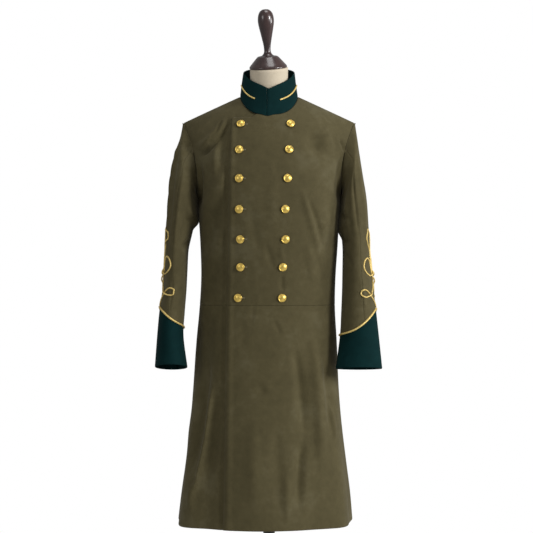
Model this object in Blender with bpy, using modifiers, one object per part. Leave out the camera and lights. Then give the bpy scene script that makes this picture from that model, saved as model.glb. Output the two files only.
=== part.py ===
"""Double-breasted frock coat with a stand collar and pointed cuffs, worn by a dress form on a stand.

Metres, +Z up, origin on the floor under the form. The coat faces -Y, so +X is the wearer's left side.
"""

import math

import bmesh
import bpy
import numpy as np
from mathutils import Matrix, Vector

# ---- Driving dimensions ----
WALL = 0.002  # a layer of wool cloth with its stiffening
SEAM = 0.0003  # gap between two pieces at a seam
TRIM = 0.6 * SEAM  # how far each piece is drawn in at its edges to leave it
COLLECTION = "frock_coat"

HEM_Z = 0.297
WAIST_Z = 0.895
ARMPIT_Z = 1.200
NECK_X, NECK_Z = 0.079, 1.4665  # where the shoulder seam meets the collar
NECK_FRONT_Z, NECK_BACK_Z = 1.411, 1.475
TIP_X = 0.2335  # the shoulder seam's outer end
SHOULDER_SLOPE = math.tan(math.radians(25))
SHOULDER_HOLLOW = 0.022  # how far out from the centre the shoulder line is still levelling off
FRONT_ROUNDING, BACK_ROUNDING = 0.11, 0.075  # how far below the shoulder line the cloth still curves over
TIP_Z = NECK_Z - (math.hypot(TIP_X, SHOULDER_HOLLOW) - math.hypot(NECK_X, SHOULDER_HOLLOW)) * SHOULDER_SLOPE

LAPEL_EDGE_X, EDGE_X, HEM_EDGE_X = 0.100, 0.108, 0.111  # overlap's front edge, at its top, waist and hem
LAPEL_Z = 1.403  # level top edge of the overlap
LAPEL_SHARE = 0.26  # share of a front's top that is the overlap, before the neck seam starts
LAPEL_TURN_X = 0.048, 0.030  # where the overlap's top edge turns up to the neck seam
NECK_STEPS = 8  # columns of each piece along a quarter of the neck seam
LAPEL_STEPS = 5  # and along the overlap's top edge
SIDE_STEPS, SHOULDER_STEPS = 5, 5  # rows up the side seam, and along the shoulder seam
SKIRT_COLUMNS, SKIRT_ROWS = 28, 8
SLEEVE_ROWS, CUFF_ROWS, COLLAR_ROWS = 11, 3, 2
LAYER = WALL + 0.002  # how far the upper front lies out over the lower one
LAYER_FULL_X, LAYER_NONE_X = 0.130, 0.175  # where the upper front comes back to the body's own surface
SHOULDER_SETTLING = 0.040  # how far below the shoulder line it has come out to its full height
LAPEL_CURVE = 3  # how late up the front its edge starts to lean in
FRONT_NECK_SHARPNESS, BACK_NECK_SHARPNESS = 1.35, 2.0  # how suddenly the neck seam dips at the centre
SHOULDER_START = TIP_Z  # first guess of a height on the shoulders

# One ring of the coat at each height. "front" and "back" are depths from the side seam; "square" is 2 on an
# ellipse and more on a boxier ring; "middle_x" is how far the ring hangs to one side.
BODY = (  # z, half_width, front, back, square, middle_x
    (0.295, 0.2402, 0.158, 0.216, 2.15, -0.0130),
    (0.380, 0.2315, 0.153, 0.202, 2.15, -0.0114),
    (0.450, 0.2225, 0.149, 0.189, 2.15, -0.0106),
    (0.580, 0.2080, 0.141, 0.166, 2.15, -0.0096),
    (0.700, 0.1985, 0.134, 0.143, 2.20, -0.0082),
    (0.800, 0.1925, 0.127, 0.123, 2.20, -0.0066),
    (0.895, 0.1856, 0.120, 0.107, 2.25, -0.0046),
    (0.970, 0.1845, 0.124, 0.106, 2.30, -0.0018),
    (1.050, 0.1880, 0.132, 0.112, 2.30, 0.0),
    (1.130, 0.1930, 0.140, 0.121, 2.30, 0.0),
    (1.200, 0.2000, 0.143, 0.127, 2.30, 0.0),
    (1.260, 0.2110, 0.140, 0.128, 2.30, 0.0),
    (1.320, 0.2215, 0.128, 0.121, 2.30, 0.0),
    (1.392, 0.2335, 0.101, 0.104, 2.30, 0.0),
    (1.430, 0.2335, 0.088, 0.096, 2.30, 0.0),
    (1.480, 0.2335, 0.074, 0.088, 2.30, 0.0),
)

# Flutes of the skirt: where they are round the ring in degrees, how wide they are, how far they stand out at
# the hem and how high they start.
FOLDS = (  # angle, spread, rise, top_z
    (-60, 13, 0.012, 0.80),
    (-38, 10, -0.006, 0.70),
    (-3, 12, 0.004, 0.74),
    (34, 13, -0.007, 0.82),
    (56, 14, 0.010, 0.84),
    (84, 12, -0.006, 0.78),
    (108, 12, 0.014, 0.84),
    (128, 9, -0.010, 0.84),
    (147, 10, 0.016, 0.86),
    (166, 8, -0.010, 0.86),
    (-90, 12, -0.007, 0.76),
    (-112, 12, 0.013, 0.84),
    (-131, 9, -0.010, 0.84),
    (-149, 10, 0.016, 0.86),
    (-167, 8, -0.010, 0.86),
)

# The armhole: an oval round the ring's side, wider in angle towards the front and the back.
ARMHOLE_FRONT, ARMHOLE_BACK = math.radians(23), math.radians(25)
SIDE_SEAM_SHARE, ARMHOLE_SHARE = 0.38, 0.80  # rows of a front or back up to the armhole, and to its top
SIDE_BEND = 3  # how soon the columns straighten out away from the side
ARMHOLE_MIDDLE = (TIP_Z + ARMPIT_Z) / 2
ARMHOLE_HALF = (TIP_Z - ARMPIT_Z) / 2

# Sections of a sleeve below the armhole: outer and inner point, centre and half depth, and how far the front of
# the section is raised for each metre forward.
SLEEVES = {  # outer_x, outer_z, inner_x, inner_z, centre_y, half_depth, pitch
    "left": (
        (0.2420, 1.354, 0.2060, 1.180, -0.001, 0.076, 0.00),
        (0.2470, 1.318, 0.2045, 1.150, -0.003, 0.082, 0.00),
        (0.2565, 1.255, 0.2015, 1.118, -0.007, 0.083, 0.02),
        (0.2675, 1.185, 0.1995, 1.085, -0.012, 0.080, 0.04),
        (0.2725, 1.109, 0.2015, 1.045, -0.019, 0.077, 0.07),
        (0.2770, 1.022, 0.2005, 0.990, -0.029, 0.072, 0.09),
        (0.2830, 0.955, 0.1990, 0.935, -0.039, 0.066, 0.11),
        (0.2905, 0.883, 0.1960, 0.873, -0.051, 0.060, 0.13),
        (0.2975, 0.816, 0.1920, 0.812, -0.064, 0.053, 0.14),
        (0.3063, 0.724, 0.1790, 0.724, -0.083, 0.044, 0.14),
    ),
    "right": (
        (0.2440, 1.354, 0.2060, 1.180, -0.001, 0.076, 0.00),
        (0.2560, 1.318, 0.2050, 1.150, -0.003, 0.082, 0.00),
        (0.2705, 1.255, 0.2050, 1.118, -0.006, 0.083, 0.02),
        (0.2770, 1.185, 0.2120, 1.085, -0.010, 0.081, 0.04),
        (0.2815, 1.109, 0.2205, 1.045, -0.015, 0.079, 0.08),
        (0.2852, 1.022, 0.2232, 0.990, -0.022, 0.074, 0.11),
        (0.2885, 0.955, 0.2256, 0.935, -0.030, 0.069, 0.14),
        (0.2980, 0.883, 0.2300, 0.873, -0.040, 0.065, 0.17),
        (0.3040, 0.816, 0.2325, 0.812, -0.050, 0.062, 0.18),
        (0.3100, 0.727, 0.2204, 0.727, -0.066, 0.0605, 0.18),
    ),
}
ARMHOLE_STEPS = 12  # columns of a sleeve from its outer side to its inner side
FRONT_SEAM, BACK_SEAM = 5, 7  # each sleeve seam's place, in columns from the outer side to front and to back

# The cuff's pointed top: row of the sleeve's sections that it reaches at its point and at its lowest.
CUFF_TOP = {
    "left": {"point_row": 7.97, "low_row": 8.97, "sharpness": 2.5, "turn": math.radians(6)},
    "right": {"point_row": 7.92, "low_row": 8.64, "sharpness": 2.0, "turn": math.radians(3)},
}
CUFF_GAP_ROWS = 0.006  # the seam between cuff and sleeve, in rows

# Collar: the ring of its top edge.
COLLAR_TOP_X, COLLAR_TOP_FRONT, COLLAR_TOP_BACK = 0.0705, 0.080, 0.052
COLLAR_TOP_FRONT_Z, COLLAR_TOP_SIDE_Z, COLLAR_TOP_BACK_Z = 1.481, 1.534, 1.552
COLLAR_CLOSING = math.radians(-5)  # where its ends meet, round from the centre
COLLAR_WALL = 0.003
COLLAR_FOOT_GAP = 1.3 * SEAM
COLLAR_TOP_FLATNESS, COLLAR_TOP_POINT = 0.25, 0.9  # shape of the front half of its top ring
COLLAR_RISE, COLLAR_LATE_RISE, COLLAR_LATE_POWER = 0.67, 0.33, 8  # how the top edge climbs from front to side
COLLAR_STEP, COLLAR_STEP_WIDTH = 0.020, 0.030  # where it comes down off the upper front
COLLAR_BRAID_AT = 0.465  # height on the collar, as a share
COLLAR_BRAID_START = math.radians(23), math.radians(31)  # its ends, from the centre to +X and to -X
COLLAR_BRAID_POINTS = 41

BUTTON_RADIUS = 0.011
BUTTON_SEGMENTS = 16
BUTTON_CLEARANCE = 0.0006
BUTTONS = (  # z, x of the button on the coat's right, x of the one on its left
    (1.3815, -0.0745, 0.0570),
    (1.3115, -0.0780, 0.0525),
    (1.2350, -0.0775, 0.0480),
    (1.1530, -0.0770, 0.0420),
    (1.0730, -0.0745, 0.0425),
    (0.9985, -0.0730, 0.0370),
    (0.9160, -0.0765, 0.0375),
)

BRAID_RADIUS = {"cuff": 0.0026, "knot": 0.0019, "collar": 0.0020}
BRAID_CLEARANCE = 0.0006
# Half of the sleeve knot, as one cord drawn flat: distance round the sleeve from the knot's middle, distance up
# from the cuff's point, and 1 where the cord crosses over itself. The other half mirrors it.
KNOT = (  # across, up, over
    (0.0040, 0.0050, 0),
    (0.0170, 0.0200, 0),
    (0.0320, 0.0360, 0),
    (0.0420, 0.0475, 0),
    (0.0525, 0.0505, 0),
    (0.0605, 0.0415, 0),
    (0.0545, 0.0310, 0),
    (0.0430, 0.0305, 0),
    (0.0320, 0.0365, 1),
    (0.0195, 0.0455, 0),
    (0.0090, 0.0600, 0),
    (0.0000, 0.0780, 0),
    (-0.0070, 0.0930, 0),
    (-0.0100, 0.1120, 0),
    (-0.0130, 0.1300, 0),
    (-0.0230, 0.1400, 0),
    (-0.0350, 0.1330, 0),
    (-0.0400, 0.1150, 0),
    (-0.0330, 0.0980, 0),
    (-0.0190, 0.0895, 0),
    (-0.0070, 0.0955, 1),
    (-0.0027, 0.1100, 0),
    (-0.0027, 0.1350, 0),
    (-0.0040, 0.1590, 0),
    (-0.0130, 0.1780, 0),
    (-0.0210, 0.1960, 0),
    (-0.0150, 0.2130, 0),
    (0.0000, 0.2200, 0),
)
KNOT_MIDDLE_CROSSING = 0.078  # height at which the two halves cross
KNOT_SPREAD = {"left": 1.15, "right": 1.32}  # how much wider it lies on each sleeve
KNOT_LEAN = 0.15  # how far the knot's middle runs forward for each metre up
CROSSING_REACH = 0.011  # how near a crossing the cord is lifted
CROSSING_LIFT = 2.4  # how far it is lifted, in cord radii
CROSSING_HOLD = 1.3  # and how soon it is fully up
KNOT_POINTS = 170
KNOT_TOP_ROW = 3.5  # row of the sleeve's sections above the knot's top

# Dress form: rings of the torso and neck. "slope" tips a ring down towards the front.
FORM = (  # z, half_width, front, back, centre_y, slope
    (0.700, 0.158, 0.102, 0.104, 0.000, 0.00),
    (0.720, 0.164, 0.105, 0.107, 0.000, 0.00),
    (0.800, 0.166, 0.103, 0.098, 0.000, 0.00),
    (0.895, 0.156, 0.098, 0.086, 0.000, 0.00),
    (0.990, 0.156, 0.104, 0.087, 0.000, 0.00),
    (1.090, 0.164, 0.116, 0.095, 0.000, 0.00),
    (1.180, 0.174, 0.123, 0.105, 0.000, 0.00),
    (1.250, 0.182, 0.120, 0.108, 0.000, 0.00),
    (1.310, 0.188, 0.107, 0.102, 0.000, 0.00),
    (1.355, 0.189, 0.092, 0.090, 0.000, 0.00),
    (1.385, 0.178, 0.080, 0.078, 0.000, 0.00),
    (1.405, 0.148, 0.073, 0.068, 0.000, 0.02),
    (1.422, 0.112, 0.067, 0.058, -0.003, 0.06),
    (1.438, 0.080, 0.060, 0.052, -0.007, 0.12),
    (1.456, 0.062, 0.055, 0.050, -0.011, 0.18),
    (1.480, 0.054, 0.052, 0.050, -0.015, 0.21),
    (1.510, 0.052, 0.051, 0.050, -0.019, 0.21),
    (1.542, 0.052, 0.051, 0.051, -0.024, 0.21),
)
NECK_LEAN = 0.25  # how far the neck's top tips to one side, as a share of how far it tips forward
FORM_SEGMENTS = 32
POLE_RADIUS, POLE_TOP_Z, POLE_SEGMENTS = 0.016, 0.6995, 24
BASE_RADIUS, BASE_HEIGHT, BASE_SEGMENTS = 0.200, 0.034, 48
BOSS_RADIUS = POLE_RADIUS + 0.010
CAP_X, CAP_GAP, CAP_SEGMENTS = -0.002, 0.0005, 32

# Turned cap and finial, from the top down.
CAP_PROFILE = (  # radius, height above the neck's top
    (0.0000, 0.1600),
    (0.0085, 0.1588),
    (0.0160, 0.1530),
    (0.0205, 0.1430),
    (0.0220, 0.1300),
    (0.0208, 0.1170),
    (0.0170, 0.0980),
    (0.0125, 0.0760),
    (0.0098, 0.0610),
    (0.0090, 0.0500),
    (0.0098, 0.0430),
    (0.0135, 0.0370),
    (0.0180, 0.0340),
    (0.0255, 0.0325),
    (0.0300, 0.0295),
    (0.0430, 0.0150),
    (0.0505, 0.0060),
    (0.0515, 0.0025),
    (0.0500, 0.0000),
)

COLOURS = {  # base colour, roughness, metallic
    "olive_cloth": ((0.085, 0.072, 0.036, 1), 0.9, 0.0),
    "green_facing": ((0.006, 0.026, 0.026, 1), 0.9, 0.0),
    "gold_braid": ((0.62, 0.42, 0.12, 1), 0.45, 0.3),
    "brass": ((0.72, 0.48, 0.13, 1), 0.3, 1.0),
    "cream_cover": ((0.62, 0.52, 0.38, 1), 0.85, 0.0),
    "dark_wood": ((0.045, 0.022, 0.020, 1), 0.35, 0.0),
    "black_iron": ((0.02, 0.02, 0.02, 1), 0.5, 0.6),
}


# ---- Curves and surfaces ----
def between(table, at):
    """Rows of a table at the given first-column values, on smooth curves through its rows."""
    rows = np.array(table, float)
    keys, values = rows[:, 0], rows[:, 1:]
    slopes = np.gradient(values, keys, axis=0)
    at = np.clip(np.asarray(at, float), keys[0], keys[-1])
    low = np.clip(np.searchsorted(keys, at, side="right") - 1, 0, len(keys) - 2)
    span = keys[low + 1] - keys[low]
    t = ((at - keys[low]) / span)[..., None]
    span = span[..., None]
    return (
        values[low] * (2 * t**3 - 3 * t**2 + 1)
        + values[low + 1] * (3 * t**2 - 2 * t**3)
        + slopes[low] * span * (t**3 - 2 * t**2 + t)
        + slopes[low + 1] * span * (t**3 - t**2)
    )


def eased(value):
    value = np.clip(value, 0, 1)
    return value * value * (3 - 2 * value)


def fold_rise(angle, z):
    """How far the skirt's flutes stand out at an angle round the ring and a height."""
    rise = np.zeros_like(angle)
    for centre, spread, height, top in FOLDS:
        away = (np.degrees(angle) - centre + 180) % 360 - 180
        rise += height * np.exp(-((away / spread) ** 2)) * eased((top - z) / (top - HEM_Z)) ** 0.8
    return rise


def shoulder_z(x):
    """Height of the shoulder line, which levels off towards the centre."""
    return NECK_Z - (np.hypot(x, SHOULDER_HOLLOW) - math.hypot(NECK_X, SHOULDER_HOLLOW)) * SHOULDER_SLOPE


def body(angle, z, lift=0.0):
    """Outer surface of the coat's body at an angle from the front, positive towards +X, and a height."""
    angle, z = np.broadcast_arrays(np.asarray(angle, float), np.asarray(z, float))
    half_width, front, back, square, middle_x = np.moveaxis(between(BODY, z), -1, 0)
    power = 2 / square
    sine, cosine = np.sin(angle), np.cos(angle)
    depth = np.where(cosine > 0, front, back)
    x = half_width * np.sign(sine) * np.abs(sine) ** power
    rounding = np.where(cosine > 0, FRONT_ROUNDING, BACK_ROUNDING)
    below_seam = np.clip((shoulder_z(x) - z) / rounding, 0, 1)
    y = -depth * np.sign(cosine) * np.abs(cosine) ** power * np.sqrt(1 - (1 - below_seam) ** 2)
    out_x = np.sign(sine) * np.abs(sine) ** (2 - power) / half_width
    out_y = -np.sign(cosine) * np.abs(cosine) ** (2 - power) / depth
    length = np.hypot(out_x, out_y)
    out = lift + fold_rise(angle, z)
    return np.stack([middle_x + x + out * out_x / length, y + out * out_y / length, z], -1)


def angle_at(x, z):
    """Angle round the ring, on the front, of the point that far from the ring's middle."""
    half_width, _, _, square, _ = np.moveaxis(between(BODY, z), -1, 0)
    return np.sign(x) * np.arcsin(np.clip(np.abs(x) / half_width, 0, 1) ** (square / 2))


def layer_lift(angle, z):
    """The upper front lies over the lower one, and comes down to the body's surface past the overlap."""
    x = body(angle, z)[..., 0]
    past_overlap = eased((x - LAYER_FULL_X) / (LAYER_NONE_X - LAYER_FULL_X))
    return LAYER * (1 - past_overlap) * eased((shoulder_z(x) - z) / SHOULDER_SETTLING) * (np.cos(angle) > 0)


def armhole_turn(up):
    """Turn from the armhole's bottom (0) to its top (1), at a share of the way up."""
    return np.arccos(np.clip(up - 0.5 - 0.5 * np.cos(math.pi * up), -1, 1))


def armhole(turn):
    """(angle, height) on the body of the armhole, turned from its top towards the front."""
    sine = np.sin(turn)
    angle = math.pi / 2 - np.where(sine > 0, ARMHOLE_FRONT, ARMHOLE_BACK) * sine
    return angle, ARMHOLE_MIDDLE + ARMHOLE_HALF * np.cos(turn)


def shoulder(share):
    """(angle, height) on the front of the shoulder seam, from its outer end to the collar."""
    x = TIP_X + (NECK_X - TIP_X) * share
    z = shoulder_z(x)
    return angle_at(x, z), z


def side_line(v, front):
    """(angle, height) up a front's or back's side: side seam, armhole, then shoulder seam."""
    up_hole = np.clip((v - SIDE_SEAM_SHARE) / (ARMHOLE_SHARE - SIDE_SEAM_SHARE), 0, 1)
    turn = armhole_turn(up_hole)
    hole_angle, hole_z = armhole(turn if front else -turn)
    top_angle, top_z = shoulder(np.clip((v - ARMHOLE_SHARE) / (1 - ARMHOLE_SHARE), 0, 1))
    seam_z = WAIST_Z + (ARMPIT_Z - WAIST_Z) * np.clip(v / SIDE_SEAM_SHARE, 0, 1)
    angle = np.where(v < SIDE_SEAM_SHARE, math.pi / 2, np.where(v < ARMHOLE_SHARE, hole_angle,
                     top_angle if front else math.pi - top_angle))
    z = np.where(v < SIDE_SEAM_SHARE, seam_z, np.where(v < ARMHOLE_SHARE, hole_z, top_z))
    return np.stack([angle, z], -1)


def neckline(share, front):
    """(x, height) of the neck seam, from the centre to the shoulder seam."""
    turn = share * math.pi / 2
    middle_z, sharpness = (NECK_FRONT_Z, FRONT_NECK_SHARPNESS) if front else (NECK_BACK_Z, BACK_NECK_SHARPNESS)
    x = NECK_X * np.sin(turn)
    return x, shoulder_z(x) - (shoulder_z(0) - middle_z) * np.cos(turn) ** sharpness


def patch(u, v, *edges):
    """(angle, height) in a patch between four edges: left, right, bottom and top, which meet at its corners.

    Points between the edges are kept by their depth below the shoulder line, so none rises over it, and the
    right edge, which runs round the armhole, bends only the columns near it.
    """

    def hung(edge):
        def depth_edge(share):
            angle, z = np.moveaxis(edge(share), -1, 0)
            return np.stack([angle, shoulder_z(body(angle, z)[..., 0]) - z], -1)

        return depth_edge

    def bend(edge, v):
        return edge(v[..., 0]) - (1 - v) * edge(np.zeros(1)) - v * edge(np.ones(1))

    left, right, bottom, top = (hung(edge) for edge in edges)
    u, v = u[..., None], v[..., None]
    ruled = (1 - v) * bottom(u[..., 0]) + v * top(u[..., 0])
    angle, depth = np.moveaxis(ruled + (1 - u) * bend(left, v) + u**SIDE_BEND * bend(right, v), -1, 0)
    z = SHOULDER_START - depth
    for _ in range(8):  # the shoulder line's height depends on x, and x on the height
        z = shoulder_z(body(angle, z)[..., 0]) - depth
    return angle, z


def front_panel(u, v, side):
    """A front from its overlapping edge (u = 0) to its side, and from the waist seam (v = 0) up."""

    def edge(v):
        z = WAIST_Z + (LAPEL_Z - WAIST_Z) * v
        return np.stack([angle_at(-EDGE_X + (EDGE_X - LAPEL_EDGE_X) * v**LAPEL_CURVE, z), z], -1)

    def waist(u):
        start = angle_at(-EDGE_X, WAIST_Z)
        return np.stack([start + (math.pi / 2 - start) * u, np.full_like(u, WAIST_Z)], -1)

    def top(u):
        neck_x, neck_z = neckline(np.clip((u - LAPEL_SHARE) / (1 - LAPEL_SHARE), 0, 1), True)
        lapel_x = LAPEL_EDGE_X * (1 - np.clip(u / LAPEL_SHARE, 0, 1))
        seam_z = neckline(np.arcsin(np.clip(lapel_x / NECK_X, 0, 1)) / (math.pi / 2), True)[1]
        turned_up = eased((LAPEL_TURN_X[0] - lapel_x) / (LAPEL_TURN_X[0] - LAPEL_TURN_X[1]))
        x = np.where(u < LAPEL_SHARE, -lapel_x, neck_x)
        z = np.where(u < LAPEL_SHARE, LAPEL_Z + (seam_z - LAPEL_Z) * turned_up, neck_z)
        return np.stack([angle_at(x, z), z], -1)

    angle, z = patch(u, v, edge, lambda v: side_line(v, True), waist, top)
    if side == "left":
        return body(angle, z, layer_lift(angle, z))
    return body(-angle, z)


def back_panel(u, v, side):
    """A back from the centre back seam (u = 0) to its side, and from the waist seam up."""

    def centre(v):
        return np.stack([np.full_like(v, math.pi), WAIST_Z + (NECK_BACK_Z - WAIST_Z) * v], -1)

    def waist(u):
        return np.stack([math.pi * (1 - u / 2), np.full_like(u, WAIST_Z)], -1)

    def top(u):
        x, z = neckline(u, False)
        return np.stack([math.pi - angle_at(x, z), z], -1)

    angle, z = patch(u, v, centre, lambda v: side_line(v, False), waist, top)
    return body(angle if side == "left" else -angle, z)


def skirt_panel(u, v, side):
    """A skirt from its front edge (u = 0) to the centre back, and from the waist seam (v = 0) to the hem."""
    z = WAIST_Z + (HEM_Z - WAIST_Z) * v
    start = angle_at(-EDGE_X + (EDGE_X - HEM_EDGE_X) * v, z)
    angle = start + (math.pi - start) * u
    if side == "left":
        return body(angle, z, layer_lift(angle, z))
    return body(-angle, z)


def sleeve(turn, row, side):
    """Outer surface of a sleeve, turned from its outer side towards the front, at a row of its sections."""
    turn, row = np.broadcast_arrays(np.asarray(turn, float), np.asarray(row, float))
    hole_angle, hole_z = armhole(turn)
    seam = 2 * SEAM + WALL * np.clip(np.cos(turn), 0, 1) ** 2  # wider at the top, where the sleeve rolls over
    start = body(hole_angle, hole_z) + seam[..., None] * [1, 0, 0]
    rings = [start]
    for outer_x, outer_z, inner_x, inner_z, centre_y, half_depth, pitch in SLEEVES[side]:
        across, forward = np.cos(turn), np.sin(turn) * half_depth
        rings.append(np.stack([
            (outer_x + inner_x) / 2 + (outer_x - inner_x) / 2 * across,
            centre_y - forward,
            (outer_z + inner_z) / 2 + (outer_z - inner_z) / 2 * across + pitch * forward,
        ], -1))
    rings = np.array(rings)
    slopes = np.gradient(rings, axis=0)
    low = np.clip(row.astype(int), 0, len(rings) - 2)
    t = (row - low)[..., None]

    def pick(values, index):
        return np.take_along_axis(values, index[None, ..., None], axis=0)[0]

    point = (
        pick(rings, low) * (2 * t**3 - 3 * t**2 + 1)
        + pick(rings, low + 1) * (3 * t**2 - 2 * t**3)
        + pick(slopes, low) * (t**3 - 2 * t**2 + t)
        + pick(slopes, low + 1) * (t**3 - t**2)
    )
    return point * [1 if side == "left" else -1, 1, 1]


LAST_ROW = len(SLEEVES["left"])
# Turns of a sleeve's columns, from the outer side round the front: the same points as the armhole's own.
QUARTERS = armhole_turn(np.linspace(1, 0, ARMHOLE_STEPS + 1))
TURNS = np.concatenate([QUARTERS, math.tau - QUARTERS[-2:0:-1]])
SEAM_TURNS = QUARTERS[FRONT_SEAM], -QUARTERS[BACK_SEAM]


def columns_between(start, end):
    """Shares of the way between two turns at which a sleeve has its columns."""
    turns = np.concatenate([TURNS - math.tau, TURNS])
    shares = (turns - start) / (end - start)
    return np.sort(shares[(shares > -1e-6) & (shares < 1 + 1e-6)])


def cuff_row(turn, side):
    """Row of the sleeve's sections where the cuff's pointed top seam is."""
    top = CUFF_TOP[side]
    pointing = ((1 + np.cos(turn - top["turn"])) / 2) ** top["sharpness"]
    return top["low_row"] + (top["point_row"] - top["low_row"]) * pointing


def top_sleeve(u, v, side):
    turn = SEAM_TURNS[0] + (SEAM_TURNS[1] - SEAM_TURNS[0]) * u
    return sleeve(turn, v * (cuff_row(turn, side) - CUFF_GAP_ROWS), side)


def under_sleeve(u, v, side):
    turn = SEAM_TURNS[0] + (SEAM_TURNS[1] + math.tau - SEAM_TURNS[0]) * u
    return sleeve(turn, v * (cuff_row(turn, side) - CUFF_GAP_ROWS), side)


def cuff(u, v, side):
    turn = SEAM_TURNS[1] + math.tau * u
    top = cuff_row(turn, side) + CUFF_GAP_ROWS
    return sleeve(turn, top + (LAST_ROW - top) * v, side)


def collar(u, v):
    """The collar from where its ends meet, past +X, round the back, and from the neck seam (v = 0) up."""
    turn = np.asarray(COLLAR_CLOSING + u * math.tau, float)
    v = np.asarray(v, float)
    front = np.cos(turn) > 0
    side = np.where(np.sin(turn) < 0, -1.0, 1.0)
    quarter = np.abs((turn + math.pi / 2) % math.pi - math.pi / 2) / (math.pi / 2)
    front_x, front_z = neckline(quarter, True)
    back_x, back_z = neckline(quarter, False)
    seam_x, seam_z = np.where(front, front_x, back_x), np.where(front, front_z, back_z)
    seam_angle = angle_at(seam_x, seam_z)
    on_upper_front = eased((seam_x * side + LAPEL_TURN_X[0] + COLLAR_STEP) / COLLAR_STEP_WIDTH) * front
    lift = LAYER * on_upper_front * eased((shoulder_z(seam_x) - seam_z) / SHOULDER_SETTLING)
    low = body(np.where(front, seam_angle, math.pi - seam_angle), seam_z + COLLAR_FOOT_GAP, lift)
    sine, cosine = np.sin(quarter * math.pi / 2), np.cos(quarter * math.pi / 2)
    front_y = -COLLAR_TOP_FRONT * (1 - COLLAR_TOP_FLATNESS * sine) * cosine**COLLAR_TOP_POINT
    climb = COLLAR_RISE * sine + COLLAR_LATE_RISE * sine**COLLAR_LATE_POWER
    high = np.stack([
        COLLAR_TOP_X * sine,
        np.where(front, front_y, COLLAR_TOP_BACK * cosine),
        np.where(front, COLLAR_TOP_FRONT_Z + (COLLAR_TOP_SIDE_Z - COLLAR_TOP_FRONT_Z) * climb,
                 COLLAR_TOP_SIDE_Z + (COLLAR_TOP_BACK_Z - COLLAR_TOP_SIDE_Z) * cosine),
    ], -1)
    return (low + (high - low) * v[..., None]) * np.stack([side, np.ones_like(side), np.ones_like(side)], -1)


def outward(surface, u, v, step=1e-4):
    """Unit normals of a surface, by small steps that stay inside it."""
    along_u = surface(np.minimum(u + step, 1), v) - surface(np.maximum(u - step, 0), v)
    along_v = surface(u, np.minimum(v + step, 1)) - surface(u, np.maximum(v - step, 0))
    normal = np.cross(along_u, along_v)
    return normal / np.linalg.norm(normal, axis=-1, keepdims=True)


# ---- Making objects ----
def clear_scene():
    for old in list(bpy.data.objects):
        bpy.data.objects.remove(old)


def material(name):
    colour, roughness, metallic = COLOURS[name]
    made = bpy.data.materials.get(name) or bpy.data.materials.new(name)
    made.use_nodes = True
    made.diffuse_color = colour
    shader = made.node_tree.nodes["Principled BSDF"]
    shader.inputs["Base Color"].default_value = colour
    shader.inputs["Roughness"].default_value = roughness
    shader.inputs["Metallic"].default_value = metallic
    return made


def add_object(name, data, finish):
    made = bpy.data.objects.new(name, data)
    made.data.materials.append(material(finish))
    bpy.data.collections[COLLECTION].objects.link(made)
    return made


def trimmed(grid):
    """Draws each edge of a grid of points in by a little over half a seam's gap."""
    grid = grid.copy()
    for edge, inner in ((0, 1), (-1, -2)):
        step = grid[inner] - grid[edge]
        grid[edge] += step * (TRIM / np.linalg.norm(step, axis=-1, keepdims=True))
        step = grid[:, inner] - grid[:, edge]
        grid[:, edge] += step * (TRIM / np.linalg.norm(step, axis=-1, keepdims=True))
    return grid


def add_wall(name, surface, columns, rows, finish, thickness=WALL, turned=False, level=False):
    """A cloth wall on a surface: a grid laid on it, extruded to its inner face along the surface's normals."""
    u, v = np.meshgrid(np.asarray(columns, float), np.asarray(rows, float), indexing="ij")
    normal = outward(surface, u, v) * (-1 if turned else 1)
    if level:
        normal[..., 2] = 0
    on_middle = np.abs(surface(u, v)[..., 1]) < 1e-6
    normal[on_middle, 1] = 0  # fronts and backs meet square at the shoulder and side seams
    outer = surface(u, v)
    inner = trimmed(outer - normal * thickness)
    outer = trimmed(outer)
    bm = bmesh.new()
    place = bm.verts.layers.int.new("place")
    bmesh.ops.create_grid(bm, x_segments=len(columns) - 1, y_segments=len(rows) - 1, size=0.5)
    for vert in bm.verts:
        i = round((vert.co.x + 0.5) * (len(columns) - 1))
        j = round((vert.co.y + 0.5) * (len(rows) - 1))
        vert[place] = i * len(rows) + j
        vert.co = outer[i, j]
    skin = bm.faces[:]
    moved = bmesh.ops.extrude_face_region(bm, geom=skin, use_keep_orig=True)["geom"]
    inner_points = inner.reshape(-1, 3)
    for vert in (item for item in moved if isinstance(item, bmesh.types.BMVert)):
        vert.co = inner_points[vert[place]]
    bmesh.ops.recalc_face_normals(bm, faces=bm.faces)
    if bm.calc_volume(signed=True) < 0:
        bmesh.ops.reverse_faces(bm, faces=bm.faces)
    mesh = bpy.data.meshes.new(name)
    bm.to_mesh(mesh)
    bm.free()
    return add_object(name, mesh, finish)


def even(count):
    return np.linspace(0, 1, count + 1)


def body_rows():
    """Rows of a front or back: down the side seam, round the armhole and along the shoulder."""
    return np.concatenate([np.linspace(0, SIDE_SEAM_SHARE, SIDE_STEPS + 1)[:-1],
                           np.linspace(SIDE_SEAM_SHARE, ARMHOLE_SHARE, ARMHOLE_STEPS + 1)[:-1],
                           np.linspace(ARMHOLE_SHARE, 1, SHOULDER_STEPS + 1)])


def front_columns():
    """Columns of a front: the overlap's top edge, then the neckline."""
    return np.concatenate([np.linspace(0, LAPEL_SHARE, LAPEL_STEPS + 1)[:-1],
                           np.linspace(LAPEL_SHARE, 1, NECK_STEPS + 1)])


def build_coat_body():
    for side in ("left", "right"):
        on_left = side == "left"
        add_wall(f"front_{side}", lambda u, v: front_panel(u, v, side), front_columns(), body_rows(),
                 "olive_cloth", turned=not on_left)
        add_wall(f"back_{side}", lambda u, v: back_panel(u, v, side), even(NECK_STEPS), body_rows(),
                 "olive_cloth", turned=on_left)
        add_wall(f"skirt_{side}", lambda u, v: skirt_panel(u, v, side), even(SKIRT_COLUMNS), even(SKIRT_ROWS),
                 "olive_cloth", turned=on_left)


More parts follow.
